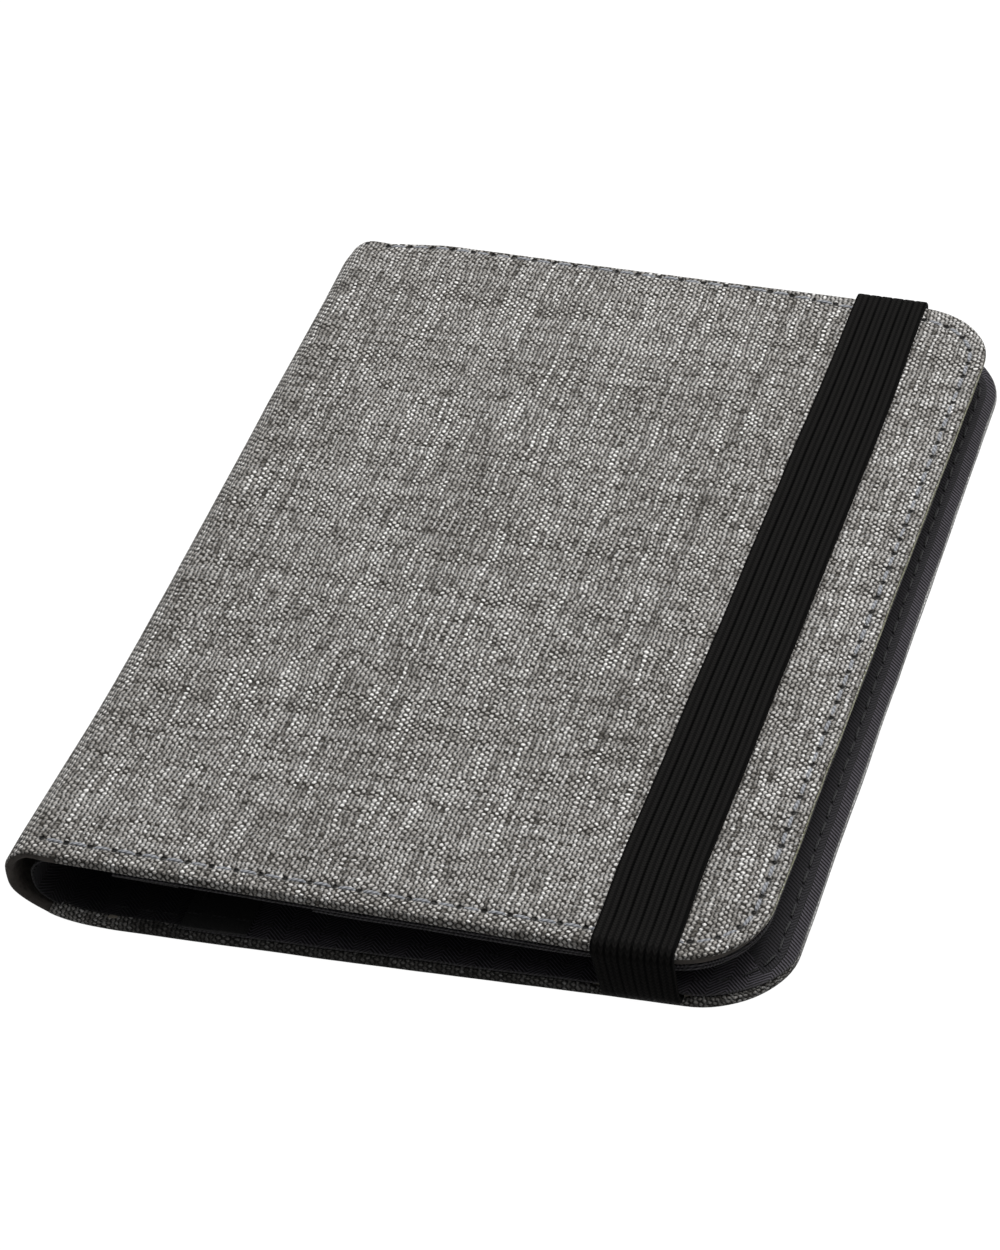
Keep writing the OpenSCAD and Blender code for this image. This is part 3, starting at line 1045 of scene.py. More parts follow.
@dataclass
class Skin:
    """Outer fabric of one cover or of the spine, turned in round its edges."""

    name: str
    start: float
    stop: float
    cover: Cover | None = None
    cloth_t: float = 0.45 * MM
    edge_r: float = 0.5 * MM
    turn_in: float = 6.0 * MM
    spare: float = 12 * MM
    rings: tuple[float, ...] = (0.4, 0.6, 0.5, 0.4, 0.35, 0.35, 0.4, 0.8, 1.4)
    grid: float = PITCH / 4

    @property
    def way(self) -> int:
        """1 for the front cover, -1 for the back cover and 0 for the spine."""
        return self.cover.inward if self.cover else 0

    @property
    def thick(self) -> float:
        """Thickness of what the cloth is turned in round."""
        return CORE_T if self.cover else SPINE_EDGE_T

    @property
    def flat(self) -> Range:
        """Width and length that the cloth is cut to, with what is turned in."""
        turned = self.thick + self.turn_in
        return self.stop - self.start + (turned if self.cover else 0), COVER_H + 2 * turned

    def blank(self) -> Bench:
        """Cut the blank: a slab with rounded corners and edges, open where it meets its neighbour.

        Returns:
            The bench with the blank on it, still open for editing.
        """
        low = self.start - (0 if self.way < 0 else self.spare)
        high = self.stop + (0 if self.way > 0 else self.spare)
        bench = Bench(self.name, (low, -HALF_H, 0), (high, HALF_H, self.thick))
        if self.cover:
            bench.bevel(lambda e: is_at(e, self.cover.fore) and is_level(e, 1), CORNER_R, 17)
        bench.bevel(lambda e: is_level(e, 2), self.edge_r, 4)
        bench.pick(Kind.FACES, lambda f: is_broad(f, 1))
        bpy.ops.mesh.inset(thickness=self.turn_in - self.edge_r)
        bpy.ops.mesh.delete(type="FACE")
        bench.pick(Kind.FACES, lambda f: is_broad(f, -1))
        for ring in self.rings:
            bpy.ops.mesh.inset(thickness=ring * MM)
        if self.way >= 0:
            bench.trim(self.start, keep_above=True)
        if self.way <= 0:
            bench.trim(self.stop, keep_above=False)
        return bench

    def cuts(self, bench: Bench) -> None:
        """Cut the blank into small faces, finer where the cloth turns.

        Args:
            bench: the bench with the blank on it.
        """
        half = HALF_H - CORNER_R
        if self.cover:
            bend, corner = self.cover.along(6 * MM), self.cover.along(self.cover.straight)
            bench.cut(0, even(self.start if self.way > 0 else self.stop, bend, TURN_STEP))
            bench.cut(0, [bend, *even(bend, corner, self.grid), corner])
        else:
            bench.cut(0, even(self.start, self.stop, SPINE_STEP))
        bench.cut(1, [-half, *even(-half, half, self.grid), half])

    def spots(self, rows: np.ndarray) -> Spots:
        """Find where the vertices lie on the cover or the spine.

        Args:
            rows: the vertices of the flat skin.

        Returns:
            Where they lie.
        """
        s, y, h = rows[:, 0].copy(), -rows[:, 1], rows[:, 2].copy()
        if self.cover:
            u = self.cover.from_crease(s)
            return Spots(u, y, h, *self.cover.edge_frame(u, y), *self.cover.seam_map(u, y))
        core = np.stack([s, np.clip(y, CORNER_R - HALF_H, HALF_H - CORNER_R)], 1)
        out = np.stack([np.zeros_like(s), np.sign(y)], 1)
        far_from_seam = np.full_like(s, 9 * MM)
        return Spots(s, y, h, core, out, HALF_H - np.abs(y), np.zeros_like(s), far_from_seam)

    def map_weave(self, obj: Object, at: Spots) -> None:
        """Map the weave as the cloth was cut, so that it runs on round the edges, and the seam.

        Args:
            obj: the flat skin.
            at: where its vertices lie.
        """
        flat = np.stack([at.u, at.y], 1)
        lift = np.where(at.h < CORE_T / 2, -at.depth + at.h, at.depth + at.h)
        inside = np.linalg.norm(flat - at.core, axis=1) < 1e-7
        cloth = at.core + at.out * (CORNER_R + lift)[:, None]
        cloth[inside] = flat[inside]
        if self.cover:
            cloth[:, 0] = self.cover.along(cloth[:, 0])
        map_cloth(obj, "cloth", cloth)
        stitch = at.along / PITCH + (BACK_COUNT if self.way < 0 else 0.0)
        map_cloth(obj, "seam", np.stack([stitch, at.off / MM], 1))

    def press(self, rows: np.ndarray, at: Spots) -> None:
        """Sink the seam, and press a cover's cloth at the crease, the strap's ends and the fore-edge.

        Args:
            rows: the vertices, which are moved.
            at: where they lie.
        """
        outer = at.h < self.cloth_t
        sewn = np.clip((at.u - SEAM_START + 2 * MM) / (2 * MM), 0, 1)
        dip = bell(at.off / (0.65 * MM)) * (0.19 - 0.08 * np.cos(2 * np.pi * at.along / PITCH)) * MM
        puff = bell((at.off + 1.6 * MM) / (1.0 * MM)) * 0.06 * MM
        rows[:, 2] += np.where(outer, (dip - puff) * sewn, 0)
        by_crease = ease((5 * MM - at.u) / (4 * MM))
        rows[:, 2] -= np.where(at.h > 0.7 * MM, (at.h - 0.6 * MM) / (0.9 * MM) * 0.3 * MM * by_crease, 0)
        if self.way < 0:
            firm = strap_press(at.u + CREASE_IN, at.y)
            turned_in = (at.h - self.cloth_t) / (1.05 * MM)
            rows[:, 2] -= np.where(at.h > self.cloth_t, turned_in * 0.5 * MM * firm, 0)
        rows[:, 2] = self.cover.thinned(rows[:, 2], at.depth, at.out)
        if self.way > 0:
            under = np.clip((at.h - LINING_T) / (CORE_T - LINING_T), 0, 1)
            rows[:, 0] -= 0.55 * MM * under * ease(1 - at.depth / (3 * MM)) * np.clip(at.out[:, 0], 0, 1) ** 4
            crease = bell((at.u - 4.2 * MM) / (0.9 * MM))
            rows[:, 2] += np.where(outer, 0.16 * MM * crease * (0.7 + 0.5 * ripple(rows, 9 * MM, 6.6)), 0)

    def shape(self, obj: Object) -> None:
        """Map the weave, press the cloth and let it wander a little.

        Args:
            obj: the flat skin.
        """
        rows = points(obj)
        at = self.spots(rows)
        self.map_weave(obj, at)
        if self.cover:
            self.press(rows, at)
        wave = ripple(rows, 23 * MM, 3.1) * 0.07 * MM + ripple(rows, 7 * MM, 8.4) * 0.03 * MM
        rows[:, 2] += np.where(at.h < self.cloth_t, wave, wave * 0.5)
        by_edge = np.clip(1 - at.depth / (5 * MM), 0, 1)
        flat = np.stack([at.u, at.y, 0 * at.u], 1)
        edge_wave = (ripple(flat, 14 * MM, 5.5) * 0.12 + ripple(flat, 4 * MM, 1.5) * 0.04) * MM
        push = at.out * (by_edge * edge_wave)[:, None]
        rows[:, 0] += push[:, 0] * self.way
        rows[:, 1] -= push[:, 1]
        put_points(obj, rows)

    def build(self, path: FoldPath, material: Material, backing: Material) -> Object:
        """Make the skin.

        Args:
            path: the path that it is wrapped along.
            material: the fabric.
            backing: the dark coat on the fabric's back, also laid on turned-in faces as painted shade.

        Returns:
            The finished piece.
        """
        bench = self.blank()
        self.cuts(bench)
        obj = bench.close()
        middles = np.empty(len(obj.data.polygons) * 3)
        obj.data.polygons.foreach_get("center", middles)
        middles = middles.reshape(-1, 3)
        away = self.cover.from_crease(middles[:, 0]) if self.cover else middles[:, 0] * 0
        # Turned-in faces by the crease and the spine, and below the front cover's fore-edge, take the dark backing:
        # painted shade
        painted_shade_faces = (middles[:, 2] > 0.4 * MM) & (away < 5 * MM) & (self.name != "back_skin")
        if self.way > 0:
            painted_shade_faces |= middles[:, 2] > (1.6 - 0.9 * ease((away - self.cover.width + 30 * MM) / (22 * MM))) * MM
        self.shape(obj)
        dress(obj, material, backing)
        obj.data.polygons.foreach_set("material_index", painted_shade_faces.astype(np.int32))
        apply(obj, "SOLIDIFY", thickness=self.cloth_t, offset=-1.0, use_even_offset=True, material_offset=1)
        path.wrap(obj)
        smooth(obj, 60)
        return note(obj)


@dataclass
class Layer:
    """A flat layer inside a cover: lining, pocket panel, hem, foam or board."""

    name: str
    cover: Cover
    mouth: float
    inset: float
    depth: float
    thick: float
    end: float | None = None
    path_start: float | None = None
    edge_r: float = 0.1 * MM
    wave: float = 0.06 * MM
    droop: float = 0.0
    grid: float = 3.0 * MM

    @property
    def ends(self) -> Range:
        """Path distances of the end by the spine and of the end by the fore-edge."""
        head = self.cover.along(self.mouth) if self.path_start is None else self.path_start
        return head, self.cover.along(self.cover.width - self.inset if self.end is None else self.end)

    @property
    def flat(self) -> Range:
        """Width and length that the layer is cut to."""
        a, b = self.ends
        return abs(b - a), COVER_H - 2 * self.inset

    def blank(self) -> Bench:
        """Cut the blank: a slab with soft edges, and rounded corners if it reaches the fore-edge.

        Returns:
            The bench with the blank on it, still open for editing.
        """
        a, b = self.ends
        half = HALF_H - self.inset
        bench = Bench(self.name, (min(a, b), -half, self.depth), (max(a, b), half, self.depth + self.thick))
        if self.end is None:
            bench.bevel(lambda e: is_at(e, b) and is_level(e, 1), CORNER_R - self.inset, 14)
        bench.bevel(lambda e: is_level(e, 2), self.edge_r, 2)
        bench.pick(Kind.FACES, lambda f: is_broad(f, 1) or is_broad(f, -1))
        bpy.ops.mesh.inset(thickness=0.25 * MM)
        core = HALF_H - CORNER_R
        tip = self.cover.along(self.cover.straight) if self.end is None else b
        if self.path_start is not None:
            crease = self.cover.along(7 * MM)
            bench.cut(0, [*even(a, crease, TURN_STEP), crease])
            bench.cut(0, [*even(crease, tip, self.grid), tip])
        else:
            step = min(self.grid, abs(a - tip) / 3)
            bench.cut(0, even(a, tip, step) + ([tip] if self.end is None else []))
        bench.cut(1, [-core, *even(-core, core, self.grid), core])
        return bench

    def shape(self, obj: Object) -> None:
        """Map the cloth, press it along the fore-edge and let its edges hang and sway a little.

        Args:
            obj: the flat layer.
        """
        rows, way = points(obj), self.cover.inward
        map_cloth(obj, "cloth", np.stack([rows[:, 0] + rows[:, 2], rows[:, 1]], 1))
        u = self.cover.from_crease(rows[:, 0])
        _, out, depth = self.cover.edge_frame(u, -rows[:, 1])
        map_cloth(obj, "rim", np.stack([(depth - self.inset) / MM, rows[:, 2] / MM], 1))
        rows[:, 2] = self.cover.thinned(rows[:, 2], depth, out)
        near = np.clip(1 - (depth - self.inset) / (7 * MM), 0, 1) ** 2
        flat = rows * np.array([1, 1, 0])
        rows[:, 2] += near * self.droop * (0.6 + 0.4 * ripple(flat, 12 * MM, self.depth * 7000))
        rows[:, 2] += self.wave * 0.4 * ripple(flat, 18 * MM, self.depth * 5000)
        if way < 0 and (self.depth >= CORE_T or self.path_start is not None):
            rows[:, 2] += 0.1 * MM * strap_press(u + CREASE_IN, rows[:, 1])
        sway = near * self.wave * (2.2 * ripple(flat, 9 * MM, self.depth * 3000) - 0.6)
        if way < 0 and self.depth > CORE_T:
            sway = sway + near * 0.34 * MM * np.clip(out[:, 0], 0, 1) ** 4
        rows[:, 0] += out[:, 0] * sway * way
        rows[:, 1] -= out[:, 1] * sway
        put_points(obj, rows)

    def build(self, path: FoldPath, material: Material) -> Object:
        """Make the layer.

        Args:
            path: the path that it is wrapped along.
            material: its cloth.

        Returns:
            The finished piece.
        """
        obj = self.blank().close()
        self.shape(obj)
        path.wrap(obj)
        smooth(obj, 50)
        dress(obj, material)
        return note(obj)


# ---------------------------------------------------------------- stitches


@dataclass
class Stitches:
    """Stitches of one thread, modelled once and copied along a seam."""

    name: str
    length: float = 2.5 * MM
    width: float = 0.6 * MM
    thick: float = 0.38 * MM
    dive: float = 0.26 * MM
    sink: float = 0.1 * MM

    def pattern(self) -> Object:
        """Model one stitch along X: a flattened thread whose ends dive into the cloth.

        Returns:
            The stitch, which is copied along the seam.
        """
        bpy.ops.object.select_all(action="DESELECT")
        bpy.ops.mesh.primitive_uv_sphere_add(segments=8, ring_count=10, radius=0.5, rotation=(0, math.pi / 2, 0))
        obj = bpy.context.object
        bpy.ops.object.transform_apply(location=True, rotation=True, scale=True)
        rows = points(obj)
        x = rows[:, 0] * 2
        swell = np.maximum(1e-6, 1 - x ** 2) ** 0.5
        body = (1 - np.abs(x) ** 3) ** 0.35 / swell
        rows = rows * np.array([self.length, self.width, self.thick])
        rows[:, 1:] *= np.where(np.abs(x) > 0.999, 1, body)[:, None]
        rows[:, 2] += self.dive * np.abs(x) ** 3.5
        put_points(obj, rows)
        return obj

    def sew(self, places: Sequence[Stitch], path: FoldPath, material: Material) -> Object:
        """Copy the stitch along a seam.

        Args:
            places: path distance, flat y, depth and heading of each stitch.
            path: the path that the seam is wrapped along.
            material: the thread.

        Returns:
            All the stitches as one piece.
        """
        pattern = self.pattern()
        copies = []
        for i, (s, y, depth, turn) in enumerate(places):
            copy = pattern.copy()
            copy.data = pattern.data.copy()
            bpy.context.collection.objects.link(copy)
            jog = 0.05 * math.sin(i * 2.4) + 0.03 * math.sin(i * 5.1)
            flip = -1 if depth > CORE_T else 1
            depth += flip * self.sink * (0.5 + 0.5 * math.sin(i * 3.7 + 1.3 * math.sin(i * 1.9)))
            place = Matrix.Translation((s, y, depth)) @ Matrix.Rotation(turn + jog, 4, "Z")
            copy.data.transform(place @ Matrix.Diagonal((1, flip, flip, 1)))
            copies.append(copy)
        bpy.data.objects.remove(pattern)
        bpy.ops.object.select_all(action="DESELECT")
        for copy in copies:
            copy.select_set(True)
        bpy.context.view_layer.objects.active = copies[0]
        bpy.ops.object.join()
        obj = bpy.context.object
        obj.name = obj.data.name = self.name
        path.wrap(obj)
        smooth(obj, 80)
        dress(obj, material)
        log.info("%s: %d stitches", obj.name, len(copies))
        return obj


# ---------------------------------------------------------------- strap


@dataclass
class Strap:
    """Ribbed elastic band, with its legs and the ends sewn into the back cover."""

    ribs: int = 12
    rib: float = RIB
    rib_cuts: int = 6
    thick: float = 0.95 * MM
    tail: float = 9.5 * MM
    tail_depth: float = 1.55 * MM
    stretch: float = 1.06
    crest: float = -STRAP_X * math.sin(SLOPE) + SPINE_H

    def course(self) -> FoldPath:
        """Draw the strap's path from one sewn end, round both long edges, to the other end.

        Returns:
            The path.
        """
        near = [
            Knot(-(HALF_H - self.tail), self.tail_depth, 180, 0, 3 * MM),
            Knot(-(HALF_H - 0.5 * MM), self.tail_depth, 180, 2 * MM, 0.5 * MM),
            Knot(-(HALF_H + 0.45 * MM), 2.6 * MM, 94, 0.5 * MM, 1.4 * MM),
            Knot(-(HALF_H + 0.2 * MM), self.crest - 0.9 * MM, 90, 1.4 * MM, 0.35 * MM),
            Knot(-(HALF_H - 0.75 * MM), self.crest + 0.14 * MM, 0, 0.5 * MM, 20 * MM),
        ]
        far = [Knot(-k.x, k.z, -k.heading, k.after, k.before) for k in reversed(near)]
        return FoldPath("strap_path", near + far, upright=True)

    def blank(self, path: FoldPath) -> Bench:
        """Cut the blank: a band with soft edges, cut finely across its ribs and where it bends.

        Args:
            path: the path that it will be wrapped along.

        Returns:
            The bench with the blank on it, still open for editing.
        """
        long = path.at[-1]
        bench = Bench("strap_band", (0, -STRAP_W / 2, -self.thick), (long, STRAP_W / 2, 0))
        bench.bevel(lambda e: not is_level(e, 0), 0.28 * MM, 3)
        cuts = range(1, self.ribs * self.rib_cuts)
        bench.cut(1, [(i / self.rib_cuts - self.ribs / 2) * self.rib for i in cuts])
        first, last = path.at[4] + 1.5 * MM, path.at[5] - 1.5 * MM
        bench.cut(0, even(0.0, first, TURN_STEP))
        bench.cut(0, [first, *even(first, last, 2.5 * MM), last])
        bench.cut(0, even(last, long, TURN_STEP))
        return bench

    def knit(self, obj: Object, path: FoldPath) -> None:
        """Press the ribs into the flat band, let it wander a little and thin its sewn ends.

        Args:
            obj: the flat band.
            path: the path that it will be wrapped along.
        """
        rows = points(obj)
        map_cloth(obj, "cloth", rows[:, [1, 0]])
        turns = np.pi * rows[:, 1] / self.rib
        groove = (0.5 + 0.5 * np.cos(2 * turns)) ** 3 * (0.55 + 0.45 * np.cos(turns))
        inside = np.abs(rows[:, 1]) < STRAP_W / 2 - 0.4 * MM
        outer = rows[:, 2] < -0.5 * self.thick
        turned = ease((np.abs(rows[:, 0] - path.at[-1] / 2) - (HALF_H - 6 * MM)) / (5 * MM))
        rows[:, 2] += np.where(inside, np.where(outer, 1, -1) * groove * (0.24 - 0.14 * turned) * MM, 0)
        run = rows * np.array([1, 0, 0])
        rows[:, 2] += ripple(run, 11 * MM, 4.4) * 0.05 * MM * outer
        rows[:, 1] += ripple(run, 17 * MM, 2.2) * 0.12 * MM
        sewn = np.minimum(rows[:, 0] - path.at[1], path.at[8] - rows[:, 0])
        rows[:, 2] *= 1 - 0.37 * ease(-sewn / (0.8 * MM))
        put_points(obj, rows)

    def settle(self, obj: Object) -> None:
        """Narrow and bow the legs, and lay the band askew over the sloping cover.

        Args:
            obj: the wrapped band.
        """
        rows = points(obj)
        across, y = rows[:, 0].copy(), rows[:, 1].copy()
        rise = np.clip((rows[:, 2] - 1.6 * MM) / (self.crest - 1.6 * MM), 0, 1)
        crown = (1 - (2 * across / STRAP_W) ** 2) * 0.35 * MM * np.sin(np.pi * rise) ** 0.8
        leg = np.abs(y) > HALF_H - 0.3 * MM
        squeeze = 0.08 * (1 - rise) + 0.045 * ease((y - 35 * MM) / (35 * MM)) * rise
        rows[:, 0] -= across * squeeze
        rows[:, 1] += np.where(leg, np.sign(y) * crown, 0)
        y = rows[:, 1]
        rows[:, 0] += STRAP_X * math.cos(SLOPE) - CENTRE_X + (1 - rise) * FOOT_LEAN
        rows[:, 0] += SKEW * (STRAP_X / FRONT_W) * y / HALF_H * rise
        rows[:, 0] += 0.35 * MM * (ease((-55 * MM - y) / (17 * MM)) - ease((y - 50 * MM) / (22 * MM)))
        rows[:, 2] -= across * math.tan(SLOPE) * rise
        put_points(obj, rows)

    def build(self, material: Material) -> Object:
        """Make the strap.

        Args:
            material: the elastic.

        Returns:
            The finished piece.
        """
        path = self.course()
        obj = self.blank(path).close()
        self.knit(obj, path)
        path.wrap(obj)
        path.clear()
        self.settle(obj)
        smooth(obj, 55)
        dress(obj, material)
        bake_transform(obj)
        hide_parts("elastic_strap", "strap_tail_near", "strap_tail_far")
        return note(obj)


# ---------------------------------------------------------------- the folio


@dataclass(frozen=True)
class Pocket:
    """A pocket: its node, how far in its mouth lies, its hem's width, its level and its sag."""

    node: str
    mouth: float
    hem: float
    level: int
    droop: float

    def depth(self, cloth: int) -> float:
        """Depth of one of its layers of cloth, counted from its panel."""
        return CORE_T + LINING_T + (self.level + cloth) * POCKET_T

    def cloths_at(self, u: float) -> int:
        """How many layers of its cloth lie at a distance from the crease."""
        return (u > self.mouth) + (self.mouth < u < self.mouth + self.hem)


POCKETS = {
    "back": [Pocket("back_sleeve", 12.5 * MM, 9 * MM, 0, -0.05 * MM)],
    "front": [
        Pocket("front_sleeve", 12.5 * MM, 9 * MM, 0, 0.22 * MM),
        Pocket("card_pocket", 39.5 * MM, 4.5 * MM, 1, 0.5 * MM),
    ],
}


@dataclass
class Folio:
    """The whole folio, built from its paths, covers and finishes."""

    finishes: Finishes
    sheets: list[tuple[Object, tuple[float, float]]] = field(default_factory=list)

    def __post_init__(self) -> None:
        """Draw the fold paths and place both covers on them."""
        self.outer, self.inner = outer_path(), lining_path()
        self.back = Cover("back", BACK_W, 0.0, -1)
        self.front = Cover("front", FRONT_W, self.outer.at[-1], 1)
        self.front_in = Cover("front", FRONT_W, self.inner.at[-1], 1)

    def skins(self) -> None:
        """Outer fabric in three parts that meet in the middle of the spine's panels."""
        at, cloth = self.outer.at, self.finishes.heather
        made = [
            (Skin("back_skin", 0.0, at[2], self.back), Fold.LOWER, ["back_shell"]),
            (Skin("spine_skin", at[2], at[4]), Fold.MIDDLE, ["spine_lower_fabric", "spine_upper_fabric"]),
            (Skin("front_skin", at[4], at[-1], self.front), Fold.UPPER, ["front_shell"]),
        ]
        for skin, fold, nodes in made:
            obj = skin.build(self.outer, cloth, self.finishes.backing)
            fold.turn(obj)
            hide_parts(*nodes)
            self.sheets.append((obj, skin.flat))

    def linings(self) -> None:
        """Lining in three parts, as the outer fabric."""
        at, cloth = self.inner.at, self.finishes.lining
        for cover, inset, start, fold in (
            (self.back, 2 * LINING_INSET, at[2], Fold.LOWER),
            (self.front_in, LINING_INSET, at[4], Fold.UPPER),
        ):
            node = f"{cover.name}_lining"
            layer = Layer(f"{node}_cloth", cover, 0, inset, 0, LINING_T, path_start=start, edge_r=LINING_EDGE_R)
            obj = layer.build(self.inner, cloth)
            fold.turn(obj, lining=True)
            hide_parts(node)
            self.sheets.append((obj, layer.flat))
        self.spine_lining(at[2], at[4])

    def spine_lining(self, start: float, stop: float) -> None:
        """The part of the lining over the spine, between two path distances.

        Args:
            start: where it meets the lining of the back cover.
            stop: where it meets the lining of the front cover.
        """
        half = HALF_H - LINING_INSET
        bench = Bench("spine_lining_cloth", (start, -half, 0), (stop, half, LINING_T))
        bench.bevel(lambda e: not is_level(e, 0), LINING_EDGE_R, 2)
        bench.cut(0, even(start, stop, SPINE_STEP))
        bench.cut(1, even(-half, half, 4 * MM))
        obj = bench.close()
        rows = points(obj)
        map_cloth(obj, "cloth", rows[:, :2])
        map_cloth(obj, "rim", np.stack([(half - np.abs(rows[:, 1])) / MM, rows[:, 2] / MM], 1))
        self.inner.wrap(obj)
        smooth(obj, 50)
        dress(obj, self.finishes.lining)
        Fold.MIDDLE.turn(obj, lining=True)
        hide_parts("spine_lower_lining", "spine_upper_lining")

    def pockets(self) -> None:
        """Sleeves, card pocket and their hems."""
        kit = self.finishes
        for cover in (self.back, self.front):
            for pocket in POCKETS[cover.name]:
                node, mouth = pocket.node, pocket.mouth
                for cloth, part, slot, material, extra in (
                    (0, node, "pocket", kit.pocket, {"droop": pocket.droop}),
                    (1, f"{node}_hem", "hem", kit.hem, {"end": mouth + pocket.hem, "edge_r": HEM_EDGE_R}),
                ):
                    sizes = (mouth, POCKET_INSET, pocket.depth(cloth), POCKET_T)
                    layer = Layer(f"{part}_cloth", cover, *sizes, **extra)
                    obj = layer.build(self.outer, material)
                    self.finish(obj, f"{cover.name}_cover", slot, part)
                    self.sheets.append((obj, layer.flat))

    def fillings(self) -> None:
        """Foam and board under the fabric."""
        for cover in (self.back, self.front):
            for piece, part, filling, mouth, inset, depth, thick, edge_r in (
                ("foam_pad", "foam", self.finishes.foam, 2.5, 0.6, 0.5, 0.4, 0.19),
                ("stiffener", "board", self.finishes.board, 2.4, 0.95, 0.92, 0.5, 0.1),
            ):
                sizes = (mouth * MM, inset * MM, depth * MM, thick * MM)
                layer = Layer(f"{cover.name}_{piece}", cover, *sizes, edge_r=edge_r * MM, wave=0.0)
                obj = layer.build(self.outer, filling)
                self.finish(obj, f"{cover.name}_cover", part, f"{cover.name}_{part}")

    def seams(self) -> None:
        """Every stitch, outside and inside."""
        kit = self.finishes
        for cover, hem_node in ((self.back, "back_hem_seam"), (self.front, "front_hem_seams")):
            side, pockets = cover.name, POCKETS[cover.name]
            places = [
                (cover.along(u), -y, self.stack(u, a, pockets), -a * cover.inward) for u, y, a in cover.seam_places()
            ]
            outer = [(s, y, 0.1 * MM, turn) for s, y, _, turn in places]
            inner = [(s, y, top - 0.01 * MM, turn) for s, y, top, turn in places]
            count = int(2 * (HALF_H - SEAM_INSET - PITCH) / PITCH)
            hems = [
                (cover.along(p.mouth + 1.5 * MM), (i - count / 2) * PITCH, p.depth(2) + 0.04 * MM, math.pi / 2)
                for p in pockets
                for i in range(count + 1)
            ]
            around = Stitches(f"{side}_outer_stitches")
            within = Stitches(f"{side}_inner_stitches", width=0.34 * MM, thick=0.24 * MM, dive=0.1 * MM, sink=0.05 * MM)
            mouths = Stitches(f"{side}_hem_stitches", width=0.45 * MM, thick=0.3 * MM, dive=0.12 * MM, sink=0.04 * MM)
            for stitches, run, thread, slot, node in (
                (around, outer, kit.outer_thread, "outer_thread", f"{side}_stitching"),
                (within, inner, kit.inner_thread, "inner_thread", f"{side}_inner_stitching"),
                (mouths, hems, kit.inner_thread, "inner_thread", hem_node),
            ):
                self.finish(stitches.sew(run, self.outer, thread), f"{side}_cover", slot, node)

    @staticmethod
    def stack(u: float, turn: float, pockets: Sequence[Pocket]) -> float:
        """Height of the innermost cloth under a stitch, counted from the outer face.

        Args:
            u: the stitch's distance from the crease.
            turn: its heading.
            pockets: the cover's pockets.

        Returns:
            The height.
        """
        reach = abs(math.cos(turn)) * 1.25 * MM
        cloths = max(sum(pocket.cloths_at(x) for pocket in pockets) for x in (u - reach, u + reach))
        return CORE_T + LINING_T + cloths * POCKET_T

    @staticmethod
    def finish(obj: Object, body: str, slot: str, node: str) -> None:
        """Let a piece ride on its body and stand for its solids.

        Args:
            obj: the piece.
            body: the body that it rides on.
            slot: not used.
            node: the node whose solids it stands for.
        """
        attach(obj, body)
        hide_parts(node)

    def declare(self) -> None:
        """Log what each cloth piece in the table below was cut to."""
        rests = {
            "front_skin": ("front_foam_pad", ["spine_skin"]),
            "back_skin": ("back_foam_pad", []),
            "front_lining_cloth": ("front_stiffener", ["spine_lining_cloth"]),
            "back_lining_cloth": ("back_stiffener", []),
            "front_sleeve_cloth": ("front_lining_cloth", ["front_sleeve_hem_cloth"]),
            "back_sleeve_cloth": ("back_lining_cloth", ["back_sleeve_hem_cloth"]),
            "card_pocket_cloth": ("front_sleeve_cloth", ["card_pocket_hem_cloth"]),
        }
        for obj, flat in self.sheets:
            if obj.name in rests:
                log.info("%s: cut to %.1f by %.1f mm", obj.name, flat[0] / MM, flat[1] / MM)

    def build(self) -> None:
        """Build every part in order."""
        self.skins()
        self.linings()
        self.pockets()
        self.fillings()
        self.seams()
        self.declare()
        self.outer.clear()
        self.inner.clear()
        Strap().build(self.finishes.elastic)


# ---------------------------------------------------------------- studio


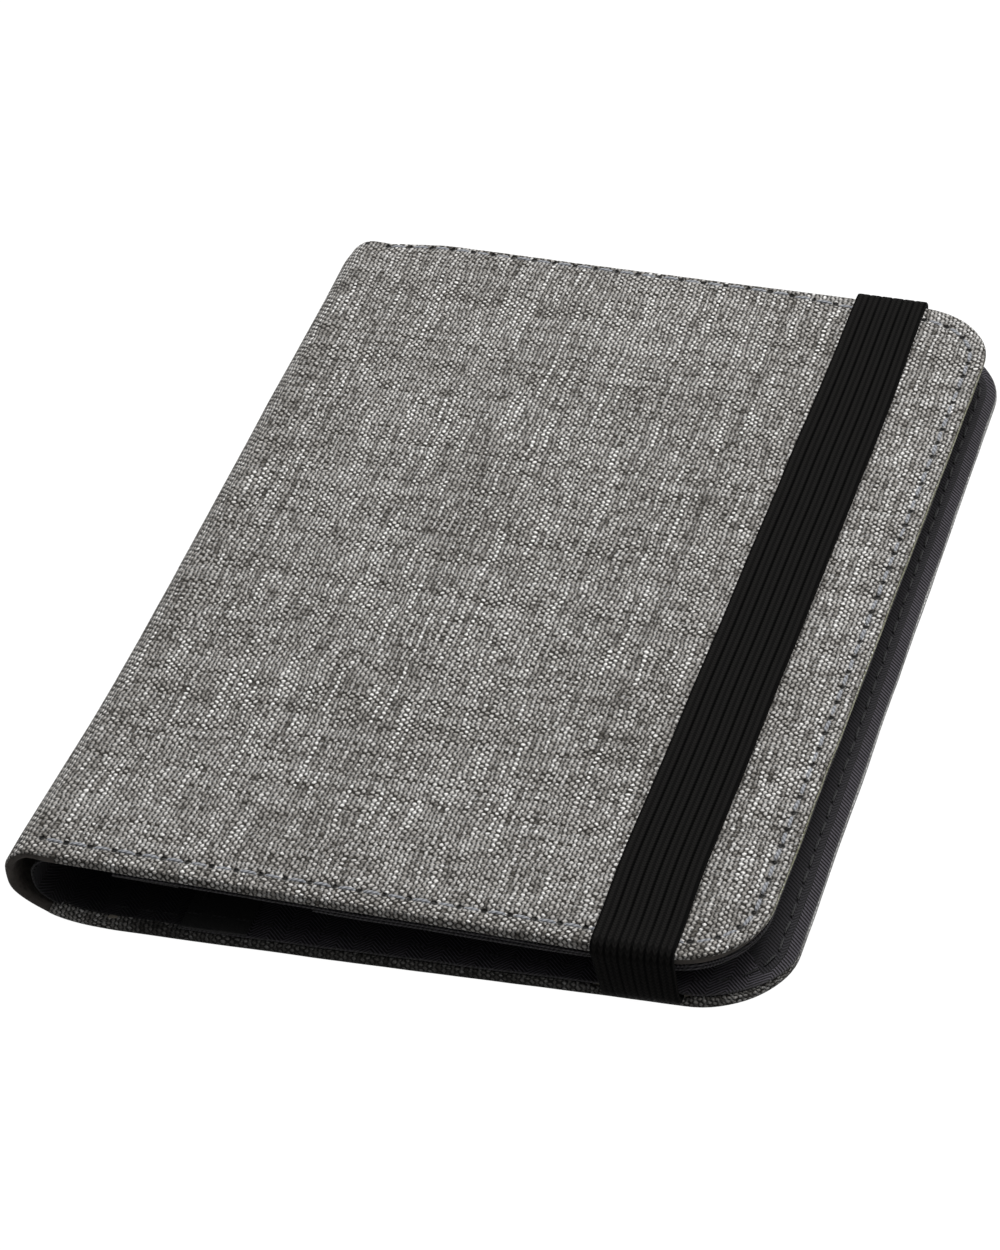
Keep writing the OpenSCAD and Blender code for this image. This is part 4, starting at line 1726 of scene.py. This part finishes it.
@dataclass
class Studio:
    """Floor, lights and camera; the camera stands at eye, in millimetres, with its three directions."""

    lens: float = 144
    eye: Place = (176.91, -516.048, 414.273)
    right: Place = (0.95803, 0.2751, -0.08064)
    down: Place = (0.10568, -0.60038, -0.7927)
    ahead: Place = (-0.26648, 0.75091, -0.60425)

    def floor(self) -> None:
        """A wide pale floor that shows white to the camera and keeps the shadow."""
        bpy.ops.object.select_all(action="DESELECT")
        bpy.ops.mesh.primitive_plane_add(size=8, location=(0, 0, 0))
        floor = bpy.context.object
        floor.name = "floor"
        tree = Tree("floor")
        grain = tree.noise(tree.object_place(), 3.0, 2.0)
        pale = tree.blend(grain * 0.1, (0.4, 0.4, 0.4), (0.38, 0.38, 0.38))
        matt = tree.node("BsdfDiffuse", {}, {"Color": pale})
        glow = tree.node("Emission", {}, {"Color": (1.0, 1.0, 1.0), "Strength": 1.25})
        ray = tree.node("LightPath", {}, {}, "Is Camera Ray")
        seen = tree.node("LightPath", {}, {}, "Is Glossy Ray")
        share = tree.clamp(ray * 0.8 + seen * 0.6)
        mixed = tree.node("MixShader", {}, {0: share, 1: matt, 2: glow})
        tree.links.new(mixed.socket, tree.out.inputs["Surface"])
        dress(floor, tree.material)

    def lights(self) -> None:
        """Soft boxes from above and a pale room."""
        world = bpy.data.worlds.new("room")
        bpy.context.scene.world = world
        world.use_nodes = True
        nodes, links = world.node_tree.nodes, world.node_tree.links
        nodes.clear()
        out = nodes.new("ShaderNodeOutputWorld")
        ray = nodes.new("ShaderNodeLightPath")
        room, white = nodes.new("ShaderNodeBackground"), nodes.new("ShaderNodeBackground")
        for node, colour, strength in ((room, (0.97, 0.985, 1, 1), 0.13), (white, (1, 1, 1, 1), 1.0)):
            node.inputs["Color"].default_value = colour
            node.inputs["Strength"].default_value = strength
        mixed = nodes.new("ShaderNodeMixShader")
        links.new(ray.outputs["Is Camera Ray"], mixed.inputs[0])
        links.new(room.outputs[0], mixed.inputs[1])
        links.new(white.outputs[0], mixed.inputs[2])
        links.new(mixed.outputs[0], out.inputs["Surface"])
        for name, at, size, power in (
            ("key", (0.2, 0.5, 0.85), 0.6, 9.0),
            ("fill", (0.7, 0.0, 0.7), 0.8, 2.0),
            ("side", (-0.6, 0.3, 0.75), 0.6, 2.5),
        ):
            bpy.ops.object.light_add(type="AREA", location=at)
            lamp = bpy.context.object
            lamp.name = name
            lamp.data.size = size
            lamp.data.energy = power
            lamp.rotation_euler = (Vector((0, 0, 0)) - Vector(at)).to_track_quat("-Z", "Y").to_euler()

    def camera(self) -> None:
        """A long lens from the front right, above."""
        data = bpy.data.cameras.new("camera")
        data.lens, data.sensor_width, data.sensor_fit = self.lens, 36, "AUTO"
        data.clip_end = 20
        camera = bpy.data.objects.new("camera", data)
        bpy.context.collection.objects.link(camera)
        axes = (Vector(self.right), -Vector(self.down), -Vector(self.ahead))
        turn = Matrix(axes).transposed().to_4x4()
        camera.matrix_world = Matrix.Translation(Vector(self.eye) * MM) @ turn
        bpy.context.scene.camera = camera

    def build(self) -> None:
        """Set the stage."""
        self.floor()
        self.lights()
        self.camera()
        bpy.context.scene.view_settings.view_transform = "Standard"


def main() -> None:
    """Build the folio and the studio."""
    Folio(Finishes()).build()
    Studio().build()


if __name__ == "__main__":
    main()
